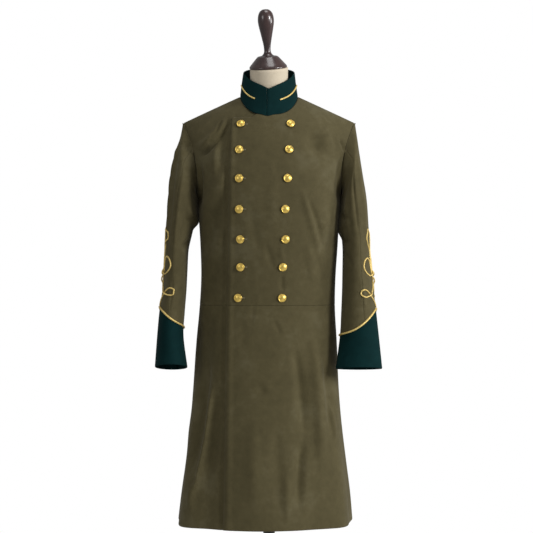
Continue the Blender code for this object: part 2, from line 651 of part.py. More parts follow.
def build_sleeves():
    front, back = SEAM_TURNS
    for side in ("left", "right"):
        on_left = side == "left"
        add_wall(f"top_sleeve_{side}", lambda u, v: top_sleeve(u, v, side), columns_between(front, back),
                 even(SLEEVE_ROWS), "olive_cloth", turned=on_left)
        add_wall(f"under_sleeve_{side}", lambda u, v: under_sleeve(u, v, side),
                 columns_between(front, back + math.tau), even(SLEEVE_ROWS), "olive_cloth", turned=not on_left)
        add_wall(f"cuff_{side}", lambda u, v: cuff(u, v, side), columns_between(back, back + math.tau),
                 even(CUFF_ROWS), "green_facing", turned=not on_left)


def build_collar():
    steps = np.arange(0, 4 * NECK_STEPS) * math.tau / (4 * NECK_STEPS)
    columns = np.concatenate([[0], (steps - COLLAR_CLOSING) / math.tau, [1]])
    add_wall("collar", collar, columns, even(COLLAR_ROWS), "green_facing", COLLAR_WALL, level=True)


def path_length(points):
    """Distance along a line of points, from its start to each point."""
    return np.append(0, np.cumsum(np.linalg.norm(np.diff(points, axis=0), axis=1)))


def smooth_path(points, count):
    """Points along a smooth curve through a list of points."""
    rows = np.array(points, float)
    steps = np.linspace(0, len(rows) - 1, count)
    table = np.column_stack([np.arange(len(rows)), rows])
    return between(table, steps)


def add_cord(name, points, radius, finish, closed=False):
    curve = bpy.data.curves.new(name, "CURVE")
    curve.dimensions = "3D"
    curve.bevel_depth = radius
    curve.bevel_resolution = 1
    curve.use_fill_caps = True
    line = curve.splines.new("POLY")
    line.points.add(len(points) - 1)
    for target, point in zip(line.points, points):
        target.co = (*point, 1)
    line.use_cyclic_u = closed
    return add_object(name, curve, finish)


def on_sleeve(turn, row, side, lift):
    """A point laid on a sleeve's surface and moved out from it."""
    turn, row = np.broadcast_arrays(np.asarray(turn, float), np.asarray(row, float))
    step = 0.01
    point = sleeve(turn, row, side)
    normal = np.cross(sleeve(turn + step, row, side) - point, sleeve(turn, row + step, side) - point)
    normal *= (-1 if side == "right" else 1) / np.linalg.norm(normal, axis=-1, keepdims=True)
    return point + normal * np.asarray(lift)[..., None]


def knot_points(side):
    """The sleeve knot: one cord from the cuff's point, up one side and down the other, lying on the sleeve."""
    half = np.array(KNOT, float)
    across, up, over = smooth_path(np.vstack([half, half[-2::-1] * [-1, 1, 1]]), KNOT_POINTS).T
    to_crossing = np.hypot(across, up - KNOT_MIDDLE_CROSSING)
    second_half = np.arange(KNOT_POINTS) > KNOT_POINTS / 2
    over = np.where(second_half, np.maximum(over, CROSSING_HOLD - to_crossing / CROSSING_REACH), over)
    radius = BRAID_RADIUS["knot"]
    height = BRAID_CLEARANCE + radius + CROSSING_LIFT * radius * eased(over)
    return lay_on_sleeve(KNOT_SPREAD[side] * across + KNOT_LEAN * up, up, side, height)


def lay_on_sleeve(across, up, side, height):
    """Lays a flat drawing on the sleeve above the cuff's point."""
    point_turn, point_row = CUFF_TOP[side]["turn"], CUFF_TOP[side]["point_row"]
    rows = np.linspace(point_row, KNOT_TOP_ROW, 60)
    run = path_length(sleeve(point_turn, rows, side))
    row = np.interp(up, run, rows)
    turns = np.linspace(-1.6, 1.6, 81)
    turn = np.empty_like(row)
    for place, (one_row, one_across) in enumerate(zip(row, across)):
        arc = path_length(sleeve(point_turn + turns, one_row, side))
        turn[place] = point_turn + np.interp(arc[len(turns) // 2] + one_across, arc, turns)
    return on_sleeve(turn, row, side, height)


def build_braids():
    for side in ("left", "right"):
        radius = BRAID_RADIUS["cuff"]
        ends = np.append(TURNS, math.tau)
        turn = np.sort(np.concatenate([TURNS, (ends[1:] + ends[:-1]) / 2]))
        points = on_sleeve(turn, cuff_row(turn, side), side, np.full_like(turn, radius + BRAID_CLEARANCE))
        add_cord(f"cuff_braid_{side}", points, radius, "gold_braid", closed=True)
        add_cord(f"sleeve_knot_{side}", knot_points(side), BRAID_RADIUS["knot"], "gold_braid")
    radius = BRAID_RADIUS["collar"]
    turn = np.linspace(COLLAR_BRAID_START[0], math.tau - COLLAR_BRAID_START[1], COLLAR_BRAID_POINTS)
    share = (turn - COLLAR_CLOSING) / math.tau
    height = np.full_like(share, COLLAR_BRAID_AT)
    points = collar(share, height) + outward(collar, share, height) * (radius + BRAID_CLEARANCE)
    add_cord("collar_braid", points, radius, "gold_braid")


def turned_shape(name, profile, segments, finish, place=Matrix.Identity(4)):
    """A turned solid from a profile of (radius, height) that runs down its outer side."""
    mesh = bpy.data.meshes.new(name)
    points = [(radius, 0, height) for radius, height in profile]
    mesh.from_pydata(points, [(i, i + 1) for i in range(len(points) - 1)], [])
    made = add_object(name, mesh, finish)
    screw = made.modifiers.new("turn", "SCREW")
    screw.axis = "Z"
    screw.steps = screw.render_steps = segments
    screw.use_merge_vertices = True
    screw.merge_threshold = 0.0001
    made.matrix_world = place
    return made


def build_buttons():
    """Domed brass buttons, each on a short shank."""
    profile = [(0.0, 0.0058)]
    for step in range(1, 5):
        bend = math.radians(90) * step / 5
        profile.append((0.0098 * math.sin(bend), 0.0022 + 0.0036 * math.cos(bend)))
    profile += [(0.0102, 0.0030), (BUTTON_RADIUS, 0.0027), (BUTTON_RADIUS, 0.0017), (0.0100, 0.0013),
                (0.0030, 0.0013), (0.0030, 0.0), (0.0, 0.0)]
    for number, (z, *columns) in enumerate(BUTTONS, 1):
        for column, x in zip(("right", "left"), columns):
            angle = angle_at(np.array(x), np.array(z))
            step = 0.02
            foot = body(angle, z, LAYER)
            across = body(angle + step, z, LAYER) - foot
            up = body(angle, z + step, LAYER) - foot
            normal = Vector(np.cross(across, up)).normalized()
            turn = normal.to_track_quat("Z", "Y").to_matrix().to_4x4()
            place = Matrix.Translation(Vector(foot) + normal * BUTTON_CLEARANCE) @ turn
            turned_shape(f"button_{column}_{number}", profile, BUTTON_SEGMENTS, "brass", place)


def build_form():
    """The form's torso and neck are one ball drawn out through its rings; the cap, pole and base are turned."""
    rings = np.array(FORM)
    bm = bmesh.new()
    bmesh.ops.create_uvsphere(bm, u_segments=FORM_SEGMENTS, v_segments=len(rings) + 1, radius=1)
    for vert in bm.verts:
        level = round(math.acos(max(-1, min(1, -vert.co.z))) / math.pi * (len(rings) + 1))
        ring = rings[min(max(level, 1), len(rings)) - 1]
        z, half_width, front, back, centre_y, slope = ring
        around = math.atan2(vert.co.x, -vert.co.y)
        size = 0.0 if level in (0, len(rings) + 1) else 1.0
        x = size * half_width * math.sin(around)
        y = -size * (front if math.cos(around) > 0 else back) * math.cos(around)
        vert.co = (x, centre_y + y, z + slope * (y + NECK_LEAN * x))
    bmesh.ops.recalc_face_normals(bm, faces=bm.faces)
    mesh = bpy.data.meshes.new("form_torso")
    bm.to_mesh(mesh)
    bm.free()
    add_object("form_torso", mesh, "cream_cover")

    neck_top = FORM[-1]
    upright = Vector((-neck_top[-1] * NECK_LEAN, -neck_top[-1], 1)).normalized()
    foot = Vector((CAP_X, neck_top[4], neck_top[0])) + upright * CAP_GAP
    place = Matrix.Translation(foot) @ upright.to_track_quat("Z", "Y").to_matrix().to_4x4()
    turned_shape("form_cap", (*CAP_PROFILE, (0.0, 0.0)), CAP_SEGMENTS, "dark_wood", place)

    foot_z = BASE_HEIGHT + SEAM
    pole = [(0, POLE_TOP_Z), (POLE_RADIUS, POLE_TOP_Z), (POLE_RADIUS, foot_z), (0, foot_z)]
    turned_shape("stand_pole", pole, POLE_SEGMENTS, "black_iron")
    base = [(0, BASE_HEIGHT), (BOSS_RADIUS, BASE_HEIGHT), (BOSS_RADIUS + 0.003, BASE_HEIGHT - 0.003),
            (BOSS_RADIUS + 0.006, 0.022), (BASE_RADIUS - 0.020, 0.016), (BASE_RADIUS - 0.006, 0.012),
            (BASE_RADIUS, 0.007), (BASE_RADIUS, 0), (0, 0)]
    turned_shape("stand_base", base, BASE_SEGMENTS, "black_iron")


def main():
    clear_scene()
    bpy.context.scene.collection.children.link(bpy.data.collections.new(COLLECTION))
    build_coat_body()
    build_sleeves()
    build_collar()
    build_braids()
    build_buttons()
    build_form()


main()
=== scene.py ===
"""Double-breasted frock coat of olive wool, worn by a dress form on an iron stand.

Metres, +Z up, origin on the floor under the form. The coat faces -Y, so +X is the wearer's left side.
"""

import math

import bmesh
import bpy
import numpy as np
from mathutils import Matrix, Vector


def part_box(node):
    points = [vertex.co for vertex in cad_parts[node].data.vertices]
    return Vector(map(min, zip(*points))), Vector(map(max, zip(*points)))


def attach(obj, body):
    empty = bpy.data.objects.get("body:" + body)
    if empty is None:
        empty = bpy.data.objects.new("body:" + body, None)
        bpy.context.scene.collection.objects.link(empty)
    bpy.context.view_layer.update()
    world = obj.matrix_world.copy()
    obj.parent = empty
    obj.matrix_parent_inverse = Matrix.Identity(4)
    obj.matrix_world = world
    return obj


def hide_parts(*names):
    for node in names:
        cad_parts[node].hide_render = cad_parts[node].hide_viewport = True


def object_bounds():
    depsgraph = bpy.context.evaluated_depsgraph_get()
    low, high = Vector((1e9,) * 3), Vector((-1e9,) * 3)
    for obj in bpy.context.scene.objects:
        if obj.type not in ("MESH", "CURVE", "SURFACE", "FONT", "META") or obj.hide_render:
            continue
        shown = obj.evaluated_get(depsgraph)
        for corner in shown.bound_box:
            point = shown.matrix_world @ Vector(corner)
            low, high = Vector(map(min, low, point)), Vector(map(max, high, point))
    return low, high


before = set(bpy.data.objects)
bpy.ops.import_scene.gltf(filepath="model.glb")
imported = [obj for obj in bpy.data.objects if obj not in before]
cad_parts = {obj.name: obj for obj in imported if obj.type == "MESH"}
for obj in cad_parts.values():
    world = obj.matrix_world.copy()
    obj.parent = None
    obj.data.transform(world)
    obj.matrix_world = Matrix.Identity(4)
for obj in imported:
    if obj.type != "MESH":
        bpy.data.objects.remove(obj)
cad_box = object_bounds()


# ---- Studio ----
# A pale round floor, a level camera with a long lens in front of the coat, and soft light: a dim room that
# looks bright behind the coat, a strong lamp high on the camera's right, a weak one on its left, one beside the
# coat, and a faint one above.
EYE = Vector((-0.0069, -4.5, 1.0))
LENS = 110.5
FLOOR_RADIUS, FLOOR_DEPTH, FLOOR_DROP = 1.45, 0.01, 0.0005
FLOOR_SIDES = 96
ROOM_LIGHT, ROOM_SEEN = 0.30, 1.0  # how bright the room is as a light, and where the camera sees it
LAMPS = (  # name, place, aimed at, size, power
    ("key_lamp", (3.3, -2.2, 2.1), (0.0, 0.0, 1.10), 1.1, 110),
    ("fill_lamp", (-2.6, -2.6, 2.0), (0.0, 0.0, 1.10), 1.3, 18),
    ("side_lamp", (3.6, -0.5, 1.5), (0.2, 0.0, 1.10), 1.0, 40),
    ("top_lamp", (0.2, -0.5, 3.4), (0.0, 0.0, 1.30), 1.1, 14),
)


class Wire:
    """A socket of a material's nodes, so that sums on it are written as plain expressions."""

    def __init__(self, tree, socket=None):
        self.tree, self.socket = tree, socket

    def node(self, kind, settings=(), sockets=(), output=0):
        """A new node of a kind: its settings first, then its sockets' values or links."""
        made = self.tree.nodes.new("ShaderNode" + kind)
        for name, value in dict(settings).items():
            if name == "stops":
                for number, (position, colour) in enumerate(value):
                    stops = made.color_ramp.elements
                    stop = stops[number] if number < len(stops) else stops.new(position)
                    stop.position, stop.color = position, colour
            else:
                setattr(made, name, value)
        for name, value in dict(sockets).items():
            if isinstance(value, Wire):
                self.tree.links.new(value.socket, made.inputs[name])
            else:
                made.inputs[name].default_value = value
        return Wire(self.tree, made.outputs[output])

    def math(self, operation, *values):
        return self.node("Math", {"operation": operation}, enumerate((self, *values)))

    def __add__(self, other):
        return self.math("ADD", other)

    def __sub__(self, other):
        return self.math("SUBTRACT", other)

    def __rsub__(self, other):
        return self * -1 + other

    def __mul__(self, other):
        return self.math("MULTIPLY", other)

    __radd__ = __add__
    __rmul__ = __mul__

    def wave(self, length):
        """A smooth wave from 0 to 1 and back over each length."""
        return (self * (math.tau / length)).math("SINE") * 0.5 + 0.5

    def axis(self, number):
        return self.node("SeparateXYZ", {}, {0: self}, output=number)

    def clamped(self, low=0.0, high=1.0):
        return self.node("Clamp", {}, {"Value": self, "Min": low, "Max": high})

    def between(self, low, high):
        """0 below low, 1 above high, and a soft step between."""
        return self.node("MapRange", {"interpolation_type": "SMOOTHSTEP"},
                         {"Value": self, "From Min": low, "From Max": high})

    def blend(self, low, high):
        """A colour this far of the way from low to high."""
        return self.node("Mix", {"data_type": "RGBA"}, {0: self, 6: low, 7: high}, output=2)

    def noise(self, scale, detail=2.0, roughness=0.5):
        return self.node("TexNoise", {}, {"Vector": self, "Scale": scale, "Detail": detail,
                                          "Roughness": roughness})

    def mapped(self, scale=(1, 1, 1), rotation=(0, 0, 0)):
        return self.node("Mapping", {}, {"Vector": self, "Scale": scale, "Rotation": rotation})


def new_finish(name, constants):
    """A material with its shader's own values set, and wires for its UV and Object coordinates."""
    made = bpy.data.materials.new(name)
    made.use_nodes = True
    shader = made.node_tree.nodes["Principled BSDF"]
    for socket, value in constants.items():
        shader.inputs[socket].default_value = value
    start = Wire(made.node_tree)
    return made, shader, start.node("TexCoord", output="UV"), start.node("TexCoord", output="Object")


def feed(shader, sockets, height=None, distance=0.001, strength=1.0):
    """Links wires to a shader's sockets, and a height through a Bump node to its Normal."""
    tree = shader.id_data
    for socket, wire in sockets.items():
        tree.links.new(wire.socket, shader.inputs[socket])
    if height is not None:
        bump = height.node("Bump", {}, {"Height": height, "Distance": distance, "Strength": strength})
        tree.links.new(bump.socket, shader.inputs["Normal"])


camera = bpy.data.objects.new("camera", bpy.data.cameras.new("camera"))
camera.location = EYE
camera.rotation_euler = (math.pi / 2, 0, 0)
camera.data.lens = LENS
bpy.context.scene.collection.objects.link(camera)
bpy.context.scene.camera = camera
bpy.context.scene.view_settings.view_transform = "Standard"

for name, place, aim, size, power in LAMPS:
    lamp = bpy.data.objects.new(name, bpy.data.lights.new(name, "AREA"))
    lamp.data.shape = "DISK"
    lamp.data.size = size
    lamp.data.energy = power
    lamp.location = place
    lamp.rotation_euler = (Vector(aim) - Vector(place)).to_track_quat("-Z", "Y").to_euler()
    bpy.context.scene.collection.objects.link(lamp)

room = bpy.data.worlds.new("room")
room.use_nodes = True
bpy.context.scene.world = room
room_light = room.node_tree.nodes["Background"]
room_light.inputs["Color"].default_value = (1, 1, 1, 1)
seen = Wire(room.node_tree).node("LightPath", output="Is Camera Ray")
strength = ROOM_LIGHT + (ROOM_SEEN - ROOM_LIGHT) * seen
room.node_tree.links.new(strength.socket, room_light.inputs["Strength"])

bm = bmesh.new()
bmesh.ops.create_cone(bm, cap_ends=True, segments=FLOOR_SIDES, radius1=FLOOR_RADIUS, radius2=FLOOR_RADIUS,
                      depth=FLOOR_DEPTH)
bmesh.ops.translate(bm, verts=bm.verts, vec=(0, 0, cad_box[0][2] - FLOOR_DEPTH / 2 - FLOOR_DROP))
floor = bpy.data.objects.new("floor", bpy.data.meshes.new("floor"))
bm.to_mesh(floor.data)
bm.free()
bpy.context.scene.collection.objects.link(floor)
floor_paint, shader, uv, place = new_finish("floor_paint", {"Roughness": 0.7})
feed(shader, {"Base Color": place.noise(3.0).blend((0.74, 0.74, 0.73, 1), (0.80, 0.80, 0.79, 1))})
floor.data.materials.append(floor_paint)


# ---- Wool ----
# The coat is heavy wool in a fine twill, fulled so that a short matt nap half hides its ribs. The facings are
# a smoother, denser wool dyed a very dark green.
RIB = 0.0011  # from one twill rib to the next
RIB_SLANT = 0.62  # how far a rib climbs for its run across
OLIVE = {
    "dark": (0.045, 0.038, 0.0170, 1),
    "light": (0.124, 0.104, 0.0500, 1),
    "worn": (0.118, 0.106, 0.062, 1),
}
GREEN = {
    "dark": (0.0010, 0.0110, 0.0112, 1),
    "light": (0.0034, 0.0270, 0.0280, 1),
    "worn": (0.006, 0.034, 0.034, 1),
}


def wool(name, dyes, rib_show, nap_show, sheen, gloss):
    """Woven wool: twill ribs under a nap, heathered fibres, and broad cloudy shades."""
    made, shader, uv, place = new_finish(name, {
        "Sheen Weight": sheen, "Sheen Roughness": 0.40, "Sheen Tint": (0.82, 0.78, 0.66, 1),
        "Specular IOR Level": gloss})
    ribs = (uv.axis(0) + uv.axis(1) * RIB_SLANT + uv.noise(240.0, 1.0) * RIB * 0.5).wave(RIB)
    fibres = uv.mapped(scale=(1, 0.45, 1), rotation=(0, 0, 0.9)).noise(1500.0, 3.0, 0.6)
    nap = uv.noise(420.0, 3.0, 0.65)
    clouds = place.noise(9.0, 3.0, 0.55)
    mottle = place.noise(55.0, 3.0, 0.6)
    shade = 0.5 + (fibres - 0.5) * 0.75 + (nap - 0.5) * 0.45 + (mottle - 0.5) * 0.45 + (ribs - 0.5) * rib_show
    shade = (shade + (clouds - 0.5) * 0.55).clamped()
    colour = shade.blend(dyes["dark"], dyes["light"])
    rubbed = (clouds + mottle * 0.4).between(0.72, 0.95) * 0.35
    colour = rubbed.blend(colour, dyes["worn"])
    feed(shader, {"Base Color": colour, "Roughness": 0.80 + (nap - 0.5) * 0.25},
         height=ribs * rib_show + fibres * 0.5 * nap_show + nap * 0.8 * nap_show,
         distance=0.0006, strength=0.45)
    return made


OLIVE_WOOL = wool("olive_wool", OLIVE, 0.30, 1.0, 0.12, 0.10)
GREEN_WOOL = wool("green_wool", GREEN, 0.10, 1.1, 0.02, 0.06)


# ---- Fronts, backs and skirts ----
# Each front is cut in one from neck and shoulder to the waist seam, the left one lapping over the right; the
# backs meet at a centre seam, and each skirt runs from its front edge round to the centre back. The wool is
# about 2 mm thick with its interlining, seamed edge to edge, with its front edges and hem turned and pressed.
WALL, SEAM = 0.002, 0.0003
TRIM = 0.6 * SEAM  # how far each piece is drawn in at a seam
ROLL, SEAM_ROLL = 0.0011, 0.0004  # how far a pressed edge and a sewn one roll in
ROLL_STEPS = (0.0012, 0.0030)  # where the rows beside an edge are
ROLL_SHARE = 0.30
TUCK, TUCK_GAP = 0.005, 0.0004  # how far a seam allowance runs under the next piece, and its gap below it
HEM_Z, WAIST_Z, ARMPIT_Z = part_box("skirt_left")[0][2] + TRIM, 0.895, 1.200
NECK_X, NECK_Z = 0.079, 1.4665
NECK_FRONT_Z, NECK_BACK_Z = 1.411, 1.475
FRONT_NECK_SHARPNESS, BACK_NECK_SHARPNESS = 1.35, 2.0
TIP_X = 0.2335
SHOULDER_SLOPE = math.tan(math.radians(25))
SHOULDER_HOLLOW = 0.022
TIP_Z = NECK_Z - (math.hypot(TIP_X, SHOULDER_HOLLOW) - math.hypot(NECK_X, SHOULDER_HOLLOW)) * SHOULDER_SLOPE
FRONT_ROUNDING, BACK_ROUNDING = 0.11, 0.075  # how far below the shoulder line the cloth still curves over
LAPEL_EDGE_X, EDGE_X, HEM_EDGE_X = 0.100, 0.108, 0.111
LAPEL_Z, LAPEL_SHARE, LAPEL_CURVE = 1.403, 0.26, 3
LAPEL_TURN_X = 0.048, 0.030
LAYER = WALL + 0.002
LAYER_FULL_X, LAYER_NONE_X = 0.130, 0.175
SHOULDER_SETTLING = 0.040
SIDE_SEAM_SHARE, ARMHOLE_SHARE, SIDE_BEND = 0.38, 0.80, 3
ARMHOLE_FRONT, ARMHOLE_BACK = math.radians(23), math.radians(25)
ARMHOLE_MIDDLE, ARMHOLE_HALF = (TIP_Z + ARMPIT_Z) / 2, (TIP_Z - ARMPIT_Z) / 2
SHOULDER_ROUNDS = 8  # times a height is worked out again from the shoulder line above it
NORMAL_STEP, NORMAL_SMOOTHING = 1e-4, 6
ON_SEAM = 1e-6  # within this of the middle plane a point is on the side or shoulder seam
PLAIN_DEPTH = 0.03  # creases fade where the body is nearer than this to its middle plane
CREASE_END_WIDTH = 0.6  # a crease's width at its ends, as a share of its width
SEAM_CREASES, FULL_CREASES = 0.35, 0.012  # share of a crease's rise at a seam, and how far off it is full
UNROLLED_RADIUS, BACK_PAST_MIDDLE = 0.17, 0.03
ALLOWANCE_START = 0.06
HOLE_MARKS = SIDE_SEAM_SHARE, ARMHOLE_SHARE  # rows at the armhole's bottom and top

BODY = (  # z, half_width, front, back, square, middle_x
    (0.295, 0.2402, 0.158, 0.216, 2.15, -0.0130),
    (0.380, 0.2315, 0.153, 0.202, 2.15, -0.0114),
    (0.450, 0.2225, 0.149, 0.189, 2.15, -0.0106),
    (0.580, 0.2080, 0.141, 0.166, 2.15, -0.0096),
    (0.700, 0.1985, 0.134, 0.143, 2.20, -0.0082),
    (0.800, 0.1925, 0.127, 0.123, 2.20, -0.0066),
    (0.895, 0.1856, 0.120, 0.107, 2.25, -0.0046),
    (0.970, 0.1845, 0.124, 0.106, 2.30, -0.0018),
    (1.050, 0.1880, 0.132, 0.112, 2.30, 0.0),
    (1.130, 0.1930, 0.140, 0.121, 2.30, 0.0),
    (1.200, 0.2000, 0.143, 0.127, 2.30, 0.0),
    (1.260, 0.2110, 0.140, 0.128, 2.30, 0.0),
    (1.320, 0.2215, 0.128, 0.121, 2.30, 0.0),
    (1.392, 0.2335, 0.101, 0.104, 2.30, 0.0),
    (1.430, 0.2335, 0.088, 0.096, 2.30, 0.0),
    (1.480, 0.2335, 0.074, 0.088, 2.30, 0.0),
)
FLUTES = (  # angle, spread, rise, top_z
    (-60, 13, 0.012, 0.80),
    (-38, 10, -0.006, 0.70),
    (-3, 12, 0.004, 0.74),
    (34, 13, -0.007, 0.82),
    (56, 14, 0.010, 0.84),
    (84, 12, -0.006, 0.78),
    (108, 12, 0.014, 0.84),
    (128, 9, -0.010, 0.84),
    (147, 10, 0.016, 0.86),
    (166, 8, -0.010, 0.86),
    (-90, 12, -0.007, 0.76),
    (-112, 12, 0.013, 0.84),
    (-131, 9, -0.010, 0.84),
    (-149, 10, 0.016, 0.86),
    (-167, 8, -0.010, 0.86),
)

# Creases of the fronts and skirts: a curve from one (x, z) to another that bows to one side, with its width,
# how far it stands out or sinks in, and how much of each end fades away.
FRONT_CREASES = (  # x0, z0, x1, z1, bow, width, rise, fade
    (-0.106, 1.396, -0.190, 1.292, -0.010, 0.0065, -0.0098, 0.30),
    (-0.112, 1.406, -0.200, 1.312, -0.010, 0.0120, 0.0078, 0.30),
    (-0.160, 1.324, -0.184, 1.300, -0.003, 0.0050, -0.0068, 0.40),
    (-0.120, 1.385, -0.128, 1.250, 0.004, 0.0090, -0.0059, 0.35),
    (-0.138, 1.350, -0.146, 1.220, 0.003, 0.0110, 0.0055, 0.40),
    (-0.108, 1.262, -0.182, 1.120, 0.006, 0.0180, 0.0082, 0.35),
    (-0.104, 1.200, -0.172, 1.060, 0.008, 0.0170, -0.0082, 0.35),
    (-0.112, 1.110, -0.168, 0.980, 0.006, 0.0160, 0.0051, 0.40),
    (-0.120, 1.030, -0.160, 0.930, 0.004, 0.0120, -0.0043, 0.40),
    (-0.184, 1.270, -0.178, 1.130, 0.010, 0.0070, -0.0078, 0.40),
    (-0.050, 1.180, -0.020, 1.020, 0.004, 0.0140, -0.0023, 0.45),
    (0.008, 1.300, 0.016, 1.060, 0.003, 0.0160, 0.0020, 0.45),
    (-0.010, 1.075, 0.020, 0.980, 0.004, 0.0080, -0.0028, 0.45),
    (0.036, 0.985, 0.038, 0.925, 0.002, 0.0060, -0.0028, 0.45),
    (0.030, 1.060, 0.042, 1.000, 0.002, 0.0070, 0.0023, 0.45),
    (0.112, 1.380, 0.137, 1.285, 0.004, 0.0200, -0.0087, 0.40),
    (0.150, 1.385, 0.170, 1.290, 0.004, 0.0150, 0.0067, 0.40),
    (0.082, 1.216, 0.136, 1.015, -0.006, 0.0100, 0.0047, 0.35),
    (0.098, 1.192, 0.150, 1.030, -0.006, 0.0095, -0.0059, 0.35),
    (0.170, 1.150, 0.128, 1.090, -0.004, 0.0070, 0.0039, 0.45),
    (0.176, 1.120, 0.150, 1.010, -0.004, 0.0100, -0.0043, 0.45),
    (0.100, 1.080, 0.118, 0.940, -0.004, 0.0130, 0.0039, 0.40),
    (0.130, 1.040, 0.146, 0.915, -0.003, 0.0110, -0.0036, 0.40),
    (0.186, 1.350, 0.207, 1.306, -0.003, 0.0050, -0.0098, 0.40),
    (0.176, 1.356, 0.200, 1.300, -0.003, 0.0080, 0.0047, 0.40),
    (-0.033, 0.925, -0.048, 0.830, 0.003, 0.0060, -0.0013, 0.35),
    (-0.026, 0.915, -0.041, 0.835, 0.003, 0.0067, 0.0008, 0.40),
    (0.008, 0.860, 0.030, 0.812, -0.004, 0.0060, -0.0016, 0.35),
    (0.015, 0.866, 0.038, 0.818, -0.004, 0.0067, 0.0008, 0.40),
    (-0.070, 0.880, -0.066, 0.760, 0.003, 0.0110, -0.0017, 0.45),
    (-0.030, 0.695, -0.004, 0.650, 0.004, 0.0128, -0.0027, 0.45),
    (-0.018, 0.705, 0.008, 0.662, 0.004, 0.0135, 0.0015, 0.45),
    (0.066, 0.800, 0.094, 0.520, -0.006, 0.0130, -0.0099, 0.40),
    (0.094, 0.560, 0.080, 0.330, 0.004, 0.0120, -0.0123, 0.40),
    (0.110, 0.850, 0.140, 0.440, -0.008, 0.0170, 0.0119, 0.35),
    (0.142, 0.780, 0.168, 0.520, -0.006, 0.0110, -0.0084, 0.40),
    (0.165, 0.640, 0.180, 0.520, -0.002, 0.0050, 0.0051, 0.40),
    (-0.150, 0.700, -0.206, 0.370, -0.008, 0.0060, 0.0128, 0.25),
    (-0.168, 0.760, -0.222, 0.400, -0.008, 0.0140, -0.0148, 0.30),
    (-0.132, 0.690, -0.176, 0.380, -0.006, 0.0140, -0.0099, 0.35),
    (-0.196, 0.430, -0.214, 0.330, 0.004, 0.0090, 0.0088, 0.40),
    (-0.040, 0.620, -0.030, 0.320, 0.006, 0.0190, 0.0049, 0.45),
    (0.020, 0.600, 0.034, 0.320, 0.004, 0.0170, -0.0054, 0.45),
    (0.052, 0.470, 0.050, 0.310, 0.004, 0.0120, 0.0059, 0.45),
    (-0.1115, 1.420, -0.1205, 0.860, 0.000, 0.0060, -0.0040, 0.10),
    (-0.1205, 0.930, -0.1260, 0.270, 0.000, 0.0060, -0.0050, 0.10),
    (-0.0970, 1.420, -0.1040, 0.860, 0.000, 0.0070, 0.0022, 0.10),
    (-0.1040, 0.930, -0.1100, 0.270, 0.000, 0.0070, 0.0028, 0.10),
    (-0.126, 1.400, -0.197, 1.296, -0.012, 0.0038, -0.0062, 0.15),
    (-0.190, 1.296, -0.201, 1.150, -0.004, 0.0110, -0.0075, 0.30),
    (0.200, 1.318, 0.190, 1.160, 0.004, 0.0110, -0.0070, 0.30),
    (-0.172, 0.885, -0.190, 0.640, -0.004, 0.0300, -0.0120, 0.30),
    (-0.205, 0.640, -0.214, 0.340, -0.004, 0.0200, 0.0060, 0.35),
)
BACK_CREASES = (  # x0, z0, x1, z1, bow, width, rise, fade
    (-0.176, 1.330, -0.120, 1.180, 0.010, 0.0120, -0.0065, 0.40),
    (0.180, 1.325, 0.118, 1.190, -0.010, 0.0110, -0.0072, 0.40),
    (-0.160, 1.355, -0.090, 1.230, 0.008, 0.0150, 0.0054, 0.45),
    (0.158, 1.350, 0.092, 1.240, -0.008, 0.0160, 0.0050, 0.45),
    (-0.150, 1.150, -0.060, 0.950, 0.012, 0.0150, -0.0054, 0.40),
    (0.152, 1.140, 0.064, 0.960, -0.012, 0.0140, -0.0050, 0.40),
    (-0.110, 0.990, -0.050, 0.915, 0.004, 0.0060, -0.0032, 0.40),
    (0.105, 0.980, 0.060, 0.910, -0.004, 0.0060, -0.0036, 0.40),
    (-0.060, 1.440, 0.060, 1.436, 0.010, 0.0080, -0.0029, 0.45),
    (-0.095, 0.850, -0.120, 0.520, -0.006, 0.0120, -0.0054, 0.40),
    (0.098, 0.860, 0.126, 0.500, 0.006, 0.0120, -0.0058, 0.40),
    (-0.046, 0.880, -0.060, 0.560, -0.004, 0.0100, 0.0047, 0.40),
    (0.044, 0.880, 0.058, 0.570, 0.004, 0.0100, 0.0050, 0.40),
)


def between(table, at):
    """Rows of a table at the given first-column values, on smooth curves through its rows."""
    rows = np.array(table, float)
    keys, values = rows[:, 0], rows[:, 1:]
    slopes = np.gradient(values, keys, axis=0)
    at = np.clip(np.asarray(at, float), keys[0], keys[-1])
    low = np.clip(np.searchsorted(keys, at, side="right") - 1, 0, len(keys) - 2)
    span = keys[low + 1] - keys[low]
    t = ((at - keys[low]) / span)[..., None]
    span = span[..., None]
    return (
        values[low] * (2 * t**3 - 3 * t**2 + 1)
        + values[low + 1] * (3 * t**2 - 2 * t**3)
        + slopes[low] * span * (t**3 - 2 * t**2 + t)
        + slopes[low + 1] * span * (t**3 - t**2)
    )


def eased(value):
    value = np.clip(value, 0, 1)
    return value * value * (3 - 2 * value)


def flute_rise(angle, z):
    """How far the skirt's flutes stand out at an angle round the ring and a height."""
    rise = np.zeros_like(angle)
    for centre, spread, height, top in FLUTES:
        away = (np.degrees(angle) - centre + 180) % 360 - 180
        rise += height * np.exp(-((away / spread) ** 2)) * eased((top - z) / (top - HEM_Z)) ** 0.8
    return rise


def shoulder_z(x):
    """Height of the shoulder line, which levels off towards the centre."""
    return NECK_Z - (np.hypot(x, SHOULDER_HOLLOW) - math.hypot(NECK_X, SHOULDER_HOLLOW)) * SHOULDER_SLOPE


